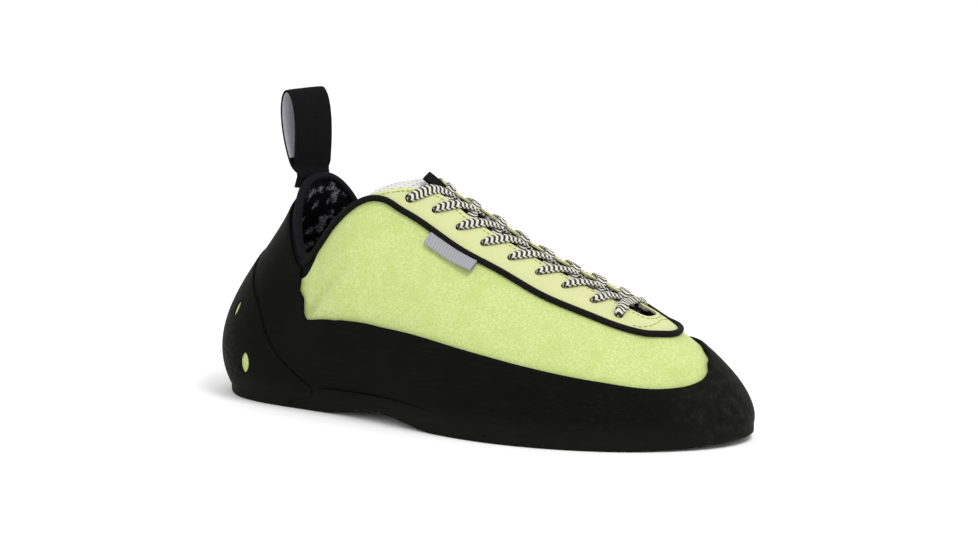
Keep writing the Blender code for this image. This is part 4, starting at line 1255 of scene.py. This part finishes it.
    def sew(self, name: str, places: Array, along: Array, normals: Array) -> Object:
        """Copy one modelled stitch to every place, in one object."""
        deselect()
        bpy.ops.mesh.primitive_uv_sphere_add(segments=8, ring_count=6, radius=0.5)
        stitch = bpy.context.object
        points = np.array([vertex.co for vertex in stitch.data.vertices])
        faces = [tuple(face.vertices) for face in stitch.data.polygons]
        bpy.data.objects.remove(stitch, do_unlink=True)
        points = points[:, [2, 1, 0]] * self.stitch
        across = np.cross(normals, along)
        frames = np.stack((along, across, normals), axis=1)
        every = np.einsum("pi,kij->kpj", points, frames) + places[:, None]
        mesh = bpy.data.meshes.new(name)
        count = len(points)
        whole = [tuple(i + k * count for i in face) for k in range(len(places)) for face in faces]
        mesh.from_pydata(every.reshape(-1, 3).tolist(), [], whole)
        piece = bpy.data.objects.new(name, mesh)
        bpy.context.scene.collection.objects.link(piece)
        face_outward(piece)
        return piece


@dataclass
class Tongue(Wall):
    """Padded tongue: black knit in the throat, a white perforated top end, and a webbing tab."""

    start: float = 2.2
    end: float = 8.0
    tuck: float = 0.006
    wall: float = 0.0028
    drop: float = 0.0033
    raised: float = 0.0006
    raised_from: tuple[float, float] = (7.1, 7.6)
    reach: float = 0.004
    end_steps: int = 10
    end_narrows: float = 0.05
    end_drops: float = 0.0006
    rounding: float = 0.0011
    border: float = 7.2
    tab_section: float = 6.84
    tab_across: float = 0.55
    tab_lift: float = 0.0022
    tab_sag: float = 0.0006
    tab_size: tuple[float, float, float] = (0.0014, 0.0080, 0.0095)
    tab_lean: float = 44.0
    tab_roll: float = 18.0

    def row(self, section: float, lift: float) -> Array:
        """Points across the tongue at a section: under one eyestay, over the throat, under the other."""
        tucks = np.array([1.0, 0.75, 0.5, 0.25]) * self.tuck
        ways = [np.full(len(tucks), self.last.way(section, side)) for side in Side]
        outer, inner = (self.last.along_edge(way, tucks, lift) for way in ways)
        over = self.last.bridge(section, section, np.linspace(0.0, 1.0, 25), lift)
        return np.concatenate((outer, over, inner[::-1]))

    def build(self, knit: Material, foam: Material) -> None:
        """Make the pad in one piece, with its top end in the pale knit."""
        sections = np.linspace(self.start, self.end, 60)
        lifts = -self.drop + self.raised * eased(sections, *self.raised_from)
        rows = [self.row(section, lift) for section, lift in zip(sections, lifts)]
        end = rows[-1]
        for i in range(1, self.end_steps + 1):
            share = i / self.end_steps
            narrow = 1.0 - self.end_narrows * share
            rows.append(end * (1.0, narrow, 1.0) - (self.reach * share, 0.0, self.end_drops * share * share))
        grid = np.stack(rows)
        piece = new_surface("tongue_pad", grid, metric_uv(grid))
        apply_modifier(piece, "SOLIDIFY", thickness=self.wall, offset=-1.0)
        round_edges(piece, self.rounding, 4)
        piece.data.materials.append(knit)
        piece.data.materials.append(foam)
        border = self.row(self.border, 0.0)[len(rows[0]) // 2, 0]
        for face in piece.data.polygons:
            face.material_index = 1 if face.center.x < border else 0
        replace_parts(settle(piece, knit), "tongue")

    def build_tab(self, webbing: Material) -> None:
        """Make the folded tab, sewn to the tongue's middle, leaning back and a little to the outer side."""
        thickness, width, length = self.tab_size
        lean, roll = math.radians(self.tab_lean), math.radians(self.tab_roll)
        lift = -self.drop + self.tab_lift
        foot = self.last.bridge(self.tab_section, self.tab_section, np.array([self.tab_across]), lift)[0]
        front = np.array([math.cos(lean), 0.0, math.sin(lean)])
        upright = np.array([-math.sin(lean), 0.0, math.cos(lean)])
        along = upright * math.cos(roll) - np.array([0.0, math.sin(roll), 0.0])
        share = np.linspace(0.0, 1.0, 20)[:, None]
        centre = foot + along * (length + self.tab_sag) * share - front * self.tab_sag * share**2
        outline = oval(width, thickness, 20, 0.35)
        piece = new_sweep("tongue_tab_tape", centre, np.tile(front, (len(share), 1)), outline)
        round_edges(piece, 0.3 * MM, angle=60.0)
        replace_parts(settle(piece, webbing), "tongue_tab")


@dataclass
class PullLoop(Wall):
    """Webbing loop on the back of the heel: two strands over one sewn stem."""

    width: float = 0.0215
    wall: float = 0.0015
    opening: float = 0.0098
    height: float = 0.0343
    stem: float = 0.0030
    turned_by: float = 0.0060
    overlap: float = 0.0054
    taper: float = 0.5
    turn: float = 12.0
    thinned: float = 0.25
    lined_from: float = 0.25

    def build(self, webbing: Material, lining: Material) -> None:
        """Sweep the tape round the loop, from the foot of one strand to the foot of the other."""
        way = np.array([self.last.way(len(SECTIONS) - 1)])
        thickness = 2.0 * self.wall
        foot = self.last.along_edge(way, self.overlap, self.last.gap + thickness)[0]
        edge = self.last.along_edge(way, 0.0, self.last.gap + thickness)[0]
        down = foot - edge
        count = 72
        angle = np.linspace(0.05, 2.0 * math.pi - 0.05, count)
        share = (1.0 - np.cos(angle)) / 2.0
        middle = self.opening / 2.0 * share**self.taper
        half = self.wall / 2.0
        ahead = self.wall - middle - np.sin(angle) * (middle + half)
        up = self.stem + self.height * share - np.cos(angle) * half
        outer = np.array([[half + down[0] * part, down[2] * part] for part in (1.0, 0.5, 0.0)])
        inner = outer[::-1] + (self.wall, 0.0)
        outline = np.concatenate((outer, np.stack((ahead, up), axis=1), inner))
        turns = np.radians(self.turn) * eased(outline[:, 1], 0.0, self.turned_by)
        sideways = np.linspace(-1.0, 1.0, 13)
        across = sideways * self.width / 2.0
        crown = 1.0 - np.abs(sideways) ** 4 * self.thinned
        tangent = unit(np.gradient(outline, axis=0))
        normal = np.stack((-tangent[:, 1], tangent[:, 0]), axis=1)
        sides = []
        for level in (0.5, -0.5):
            run = outline[:, None] + normal[:, None] * (level * self.wall * crown)[None, :, None]
            forward = run[..., 0] * np.cos(turns)[:, None] + across * np.sin(turns)[:, None]
            inward = across * np.cos(turns)[:, None] - run[..., 0] * np.sin(turns)[:, None]
            sides.append(np.stack((forward, inward, run[..., 1]), axis=2) + edge)
        grid = np.concatenate((sides[0], sides[1][:, ::-1], sides[0][:, :1]), axis=1)
        piece = new_surface("heel_loop", grid, metric_uv(grid), merge=True)
        close_ends(piece)
        piece.data.materials.append(webbing)
        piece.data.materials.append(lining)
        centre = edge + np.array([self.wall - self.opening / 2.0, 0.0, self.stem + self.height * 0.55])
        lowest = edge[2] + self.lined_from * self.height
        for face in piece.data.polygons:
            to_centre = Vector(centre) - face.center
            to_centre.y = 0.0
            inside = face.normal.dot(to_centre.normalized()) > 0.35 and face.center.z > lowest
            face.material_index = 1 if inside and face.center.x < centre[0] else 0
        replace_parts(settle(piece, webbing, 50.0), "pull_loop")


@dataclass
class Lacing(Wall):
    """One flat lace through eighteen eyelets: each strand crosses and dives under the other side."""

    upper: Upper | None = None
    width: float = 0.0048
    thickness: float = 0.0013
    rest: float = 0.0004
    sunk: float = -0.0010
    tucked: float = -0.0028
    emerging: tuple[float, ...] = (-0.0022, -0.0011)
    reaches: tuple = ((0.46, 1.08), (0.62, 1.10))
    places: tuple[float, ...] = (0.0, 0.2, 0.5, 0.8, 1.0)
    over_levels: tuple[float, ...] = (0.0010, 0.0003, -0.0006, -0.0018, -0.0028)
    under_levels: tuple[float, ...] = (0.0008, -0.0006, -0.0020, -0.0025, -0.0028)
    strand_start: tuple = (
        (0.0, 0.0, 0.0, 1.0, 0.50, 1.4),
        (0.0012, -0.0002, 0.0, 1.0, 0.56, 1.3),
        (0.0019, 0.0010, 1.0, 0.6, 0.78, 1.1),
    )
    bar_start: tuple = (
        (0.0, 0.0, 0.0, 1.0, 0.66, 1.5),
        (0.0014, -0.0003, 0.0, 1.0, 0.66, 1.5),
        (0.0024, 0.0007, 1.0, 1.0, 0.85, 1.2),
    )
    bar_beside: tuple = ((0.0045, 0.08), (0.0022, 0.14))
    bar_ahead: float = 0.16
    bar_sag: float = 0.0012

    def row(self, point: Array, lean: Array, width: float, thickness: float = 1.0) -> Array:
        """Row of a path: a place, its lean direction, and shares of the lace's width and thickness."""
        return np.concatenate((point, lean, [self.width * width, self.thickness * thickness]))

    def leave(self, section: float, side: Side, onward: Array, table: tuple) -> list[Array]:
        """Rows of a path out of an eyelet.

        Args:
            section: Section of the eyelet.
            side: Its side.
            onward: Direction in which the path goes on.
            table: Distances out and onward, how far the lean follows the wall and turns back, and shares
                of the width and the thickness.

        Returns:
            One row for each row of the table.
        """
        centre, normal = self.upper.hole(section, side, self.sunk)
        rows = []
        for out, ahead, upright, back, width, thickness in table:
            lean = unit(normal * upright - onward * back)
            rows.append(self.row(centre + normal * out + onward * ahead, lean, width, thickness))
        return rows

    def arched(self, ends: Sequence[float], across: float, levels: Sequence[float], width: float) -> Array:
        """Row of a path at the lower of two levels over the throat, leaning to the higher one."""
        point, higher = (self.last.bridge(*ends, np.array([across]), level)[0] for level in levels)
        return self.row(point, unit(higher - point), width)

    def strand(self, number: int, side: Side, over: bool) -> Array:
        """Path of a strand from one eyelet to the next one on the other side.

        Args:
            number: Eyelet that it leaves, counted from the ankle.
            side: Side that it leaves.
            over: Whether it lies on top where two strands cross.

        Returns:
            Rows of place, lean direction, width and thickness.
        """
        start, following = self.upper.sections()[number:number + 2]
        step = following - start
        near, far = self.reaches[0] if over else self.reaches[1]
        lift = self.thickness * 0.5 + self.rest
        depth = self.upper.depth(start)
        ahead = self.last.spot(start + near * 0.4 * step, side, depth * 0.6)[0]
        rows = self.leave(start, side, unit(ahead - self.upper.hole(start, side)[0]), self.strand_start)
        for share, wide in ((0.35, 1.0), (0.70, 1.04)):
            place, out = self.last.spot(start + near * share * step, side, depth * (1.0 - share), lift)
            rows.append(self.row(place, out, wide))
        ends = (start + near * step, start + far * step)
        if side is Side.INNER:
            ends = ends[::-1]
        levels = self.over_levels if over else self.under_levels
        for share in (0.02, 0.2, 0.4, 0.6, 0.8, 0.96):
            across = share if side is Side.OUTER else 1.0 - share
            level = float(np.interp(share, self.places, levels))
            rows.append(self.arched(ends, across, (level, level + 0.002), 0.98))
        place, out = self.last.spot(start + 1.06 * step, side.other, 0.0022, self.tucked)
        rows.append(self.row(place, out, 0.9, 0.8))
        below = self.upper.depth(following) - 0.0012
        place, out = self.last.spot(start + 1.0 * step, side.other, below, self.tucked)
        rows.append(self.row(place, out, 0.8, 0.8))
        for lift in self.emerging:
            hole, _ = self.upper.hole(following, side.other, lift)
            rows.append(self.row(hole, unit(hole - place), 0.6, 1.2))
        return smooth_path(np.stack(rows), 7)

    def bar(self) -> Array:
        """Path of the bar across the front, which sags into the throat between the last two eyelets."""
        section = self.upper.sections()[-1]
        lift = self.thickness * 0.5 + self.rest
        halves = []
        for side in Side:
            inward = unit(self.last.spot(section, side, 0.004)[0] - self.upper.hole(section, side)[0])
            rows = self.leave(section, side, inward, self.bar_start)
            for below, ahead in self.bar_beside:
                rows.append(self.row(*self.last.spot(section - ahead, side, below, lift), 1.0))
            halves.append(rows)
        front = (section - self.bar_ahead, section - self.bar_ahead)
        middle = []
        for share in (0.08, 0.3, 0.5, 0.7, 0.92):
            level = self.thickness * 0.5 + 0.0003 - self.bar_sag * math.sin(math.pi * share)
            middle.append(self.arched(front, share, (level, 0.004), 0.95))
        return smooth_path(np.stack(halves[0] + middle + halves[1][::-1]), 7)

    def build(self, braid: Material) -> None:
        """Sweep all strands and join them to one lace."""
        pieces = [self.sweep("lace_bar_run", self.bar())]
        for number in range(8):
            pieces.append(self.sweep(f"over_{number}", self.strand(number, Side.OUTER, True)))
            pieces.append(self.sweep(f"under_{number}", self.strand(number, Side.INNER, False)))
        deselect()
        for piece in pieces:
            piece.select_set(True)
        bpy.context.view_layer.objects.active = pieces[0]
        bpy.ops.object.join()
        lace = bpy.context.object
        lace.name = lace.data.name = "lace"
        names = ["lace_bar"] + [f"lace_cross_{number}" for number in range(1, 9)]
        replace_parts(settle(lace, braid, 60.0), *names)

    @staticmethod
    def sweep(name: str, run: Array) -> Object:
        """Tape along a run of places, leans, widths and thicknesses."""
        base = oval(1.0, 1.0, 16, 0.6)
        outline = base[None] * run[:, None, 6:8]
        return new_sweep(name, run[:, 0:3], unit(run[:, 3:6]), outline, unrolled=True)


@dataclass
class Studio:
    """Camera at the photograph's angle, a pale floor and soft light."""

    azimuth: float = 32.0
    elevation: float = 10.0
    distance: float = 1.35
    focal: float = 2280.0 * 1.35
    width: int = 978
    sensor: float = 36.0
    target: tuple[float, float, float] = (0.0024583, 0.0103151, 0.0608)
    lights: tuple = (("key", (0.75, -0.30, 1.25), 0.5, 9.5), ("front", (-0.2, -1.5, 0.6), 1.4, 2.0))
    sky: float = 1.05

    def build(self) -> None:
        """Make the camera, the floor and the lights."""
        turn, rise = math.radians(self.azimuth), math.radians(self.elevation)
        back = Vector((math.sin(turn) * math.cos(rise), -math.cos(turn) * math.cos(rise), math.sin(rise)))
        data = bpy.data.cameras.new("photo_camera")
        data.sensor_width = self.sensor
        data.lens = self.focal / self.width * self.sensor
        camera = bpy.data.objects.new("photo_camera", data)
        camera.location = Vector(self.target) + self.distance * back
        camera.rotation_euler = back.to_track_quat("Z", "Y").to_euler()
        bpy.context.scene.collection.objects.link(camera)
        bpy.context.scene.camera = camera
        deselect()
        bpy.ops.mesh.primitive_plane_add(size=24.0)
        floor = bpy.context.object
        floor.name = "floor"
        paper = Pattern("matt_paper", Roughness=0.9, Specular_IOR_Level=0.1)
        paper.colour(paper.mixed(paper.noise(0.4), "#f8f8f8", "#fbfbfb"))
        floor.data.materials.append(paper.material)
        for name, place, size, power in self.lights:
            self.light(name, place, size, power)
        world = bpy.data.worlds.new("studio")
        world.use_nodes = True
        background = world.node_tree.nodes["Background"]
        background.inputs["Color"].default_value = (1.0, 1.0, 1.0, 1.0)
        background.inputs["Strength"].default_value = self.sky
        bpy.context.scene.world = world
        bpy.context.scene.view_settings.view_transform = "Standard"

    @staticmethod
    def light(name: str, place: tuple[float, float, float], size: float, power: float) -> None:
        """Square soft light that looks at the shoe."""
        data = bpy.data.lights.new(name, "AREA")
        data.size = size
        data.energy = power
        lamp = bpy.data.objects.new(name, data)
        lamp.location = place
        lamp.rotation_euler = (Vector(place) - Vector((0.0, 0.0, 0.05))).to_track_quat("Z", "Y").to_euler()
        bpy.context.scene.collection.objects.link(lamp)


def main() -> None:
    """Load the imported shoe, dress it and set the stage."""
    logging.basicConfig(level=logging.INFO, format="%(name)s %(message)s")
    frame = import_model()
    last = Last()
    Studio().build()
    suede = Microfibre("napped_microfibre", "#bcc784", "#a9b76c", "#a5b562").make()
    smooth = Microfibre(
        "smooth_microfibre", "#bfc48f", "#b7bd82", "#c2b98a", 0.5 * MM, 12.0 * MM, 0.04 * MM, 0.7
    ).make()
    rubber = Rubber("sanded_rubber").make()
    moulded = Rubber("moulded_rubber", "#060704", "#0e0f0b", (9.0 * MM, 1.5 * MM, 1.5 * MM), 0.03 * MM).make()
    tape = Webbing("nylon_tape").make()
    cord = Webbing("woven_piping", "#070806", "#151613", 0.8 * MM, True, 0.06 * MM, 0.6).make()
    elastic = Webbing("ribbed_elastic", "#08080a", "#1e1e22", 1.0 * MM, False, 0.25 * MM).make()
    knit = KnitLining().make()
    foam = PerforatedFoam().make()
    ribbon = TwillRibbon().make()
    white = Webbing("white_tape_lining", "#b4b2bc", "#c4c3ca", 0.9 * MM).make()
    braid = BraidedLace().make()
    thread = Thread("lime_thread", "#8c9650").make()
    board = KnitLining("footbed_fabric", "#141416", "#2a2a2e").make()

    Sole(last).build(rubber)
    rubbers = Rubbers(last)
    rubbers.build_rand(rubber)
    rubbers.build_wrap(rubber)
    rubbers.build_cup(moulded)
    rubbers.fill_slots(suede)
    upper = Upper(last)
    upper.build_quarter(suede)
    upper.build_eyestay(smooth)
    upper.build_lining(knit)
    upper.build_collar_panel(elastic)
    upper.build_piping(cord)
    upper.build_binding(elastic)
    upper.build_tag(ribbon)
    upper.build_seams(thread)
    tongue = Tongue(last)
    tongue.build(knit, foam)
    tongue.build_tab(tape)
    PullLoop(last).build(tape, white)
    Lacing(last, upper=upper).build(braid)
    insole = frame["nodes"]["insole"]
    insole.data.materials.clear()
    insole.data.materials.append(board)


if __name__ == "__main__":
    main()
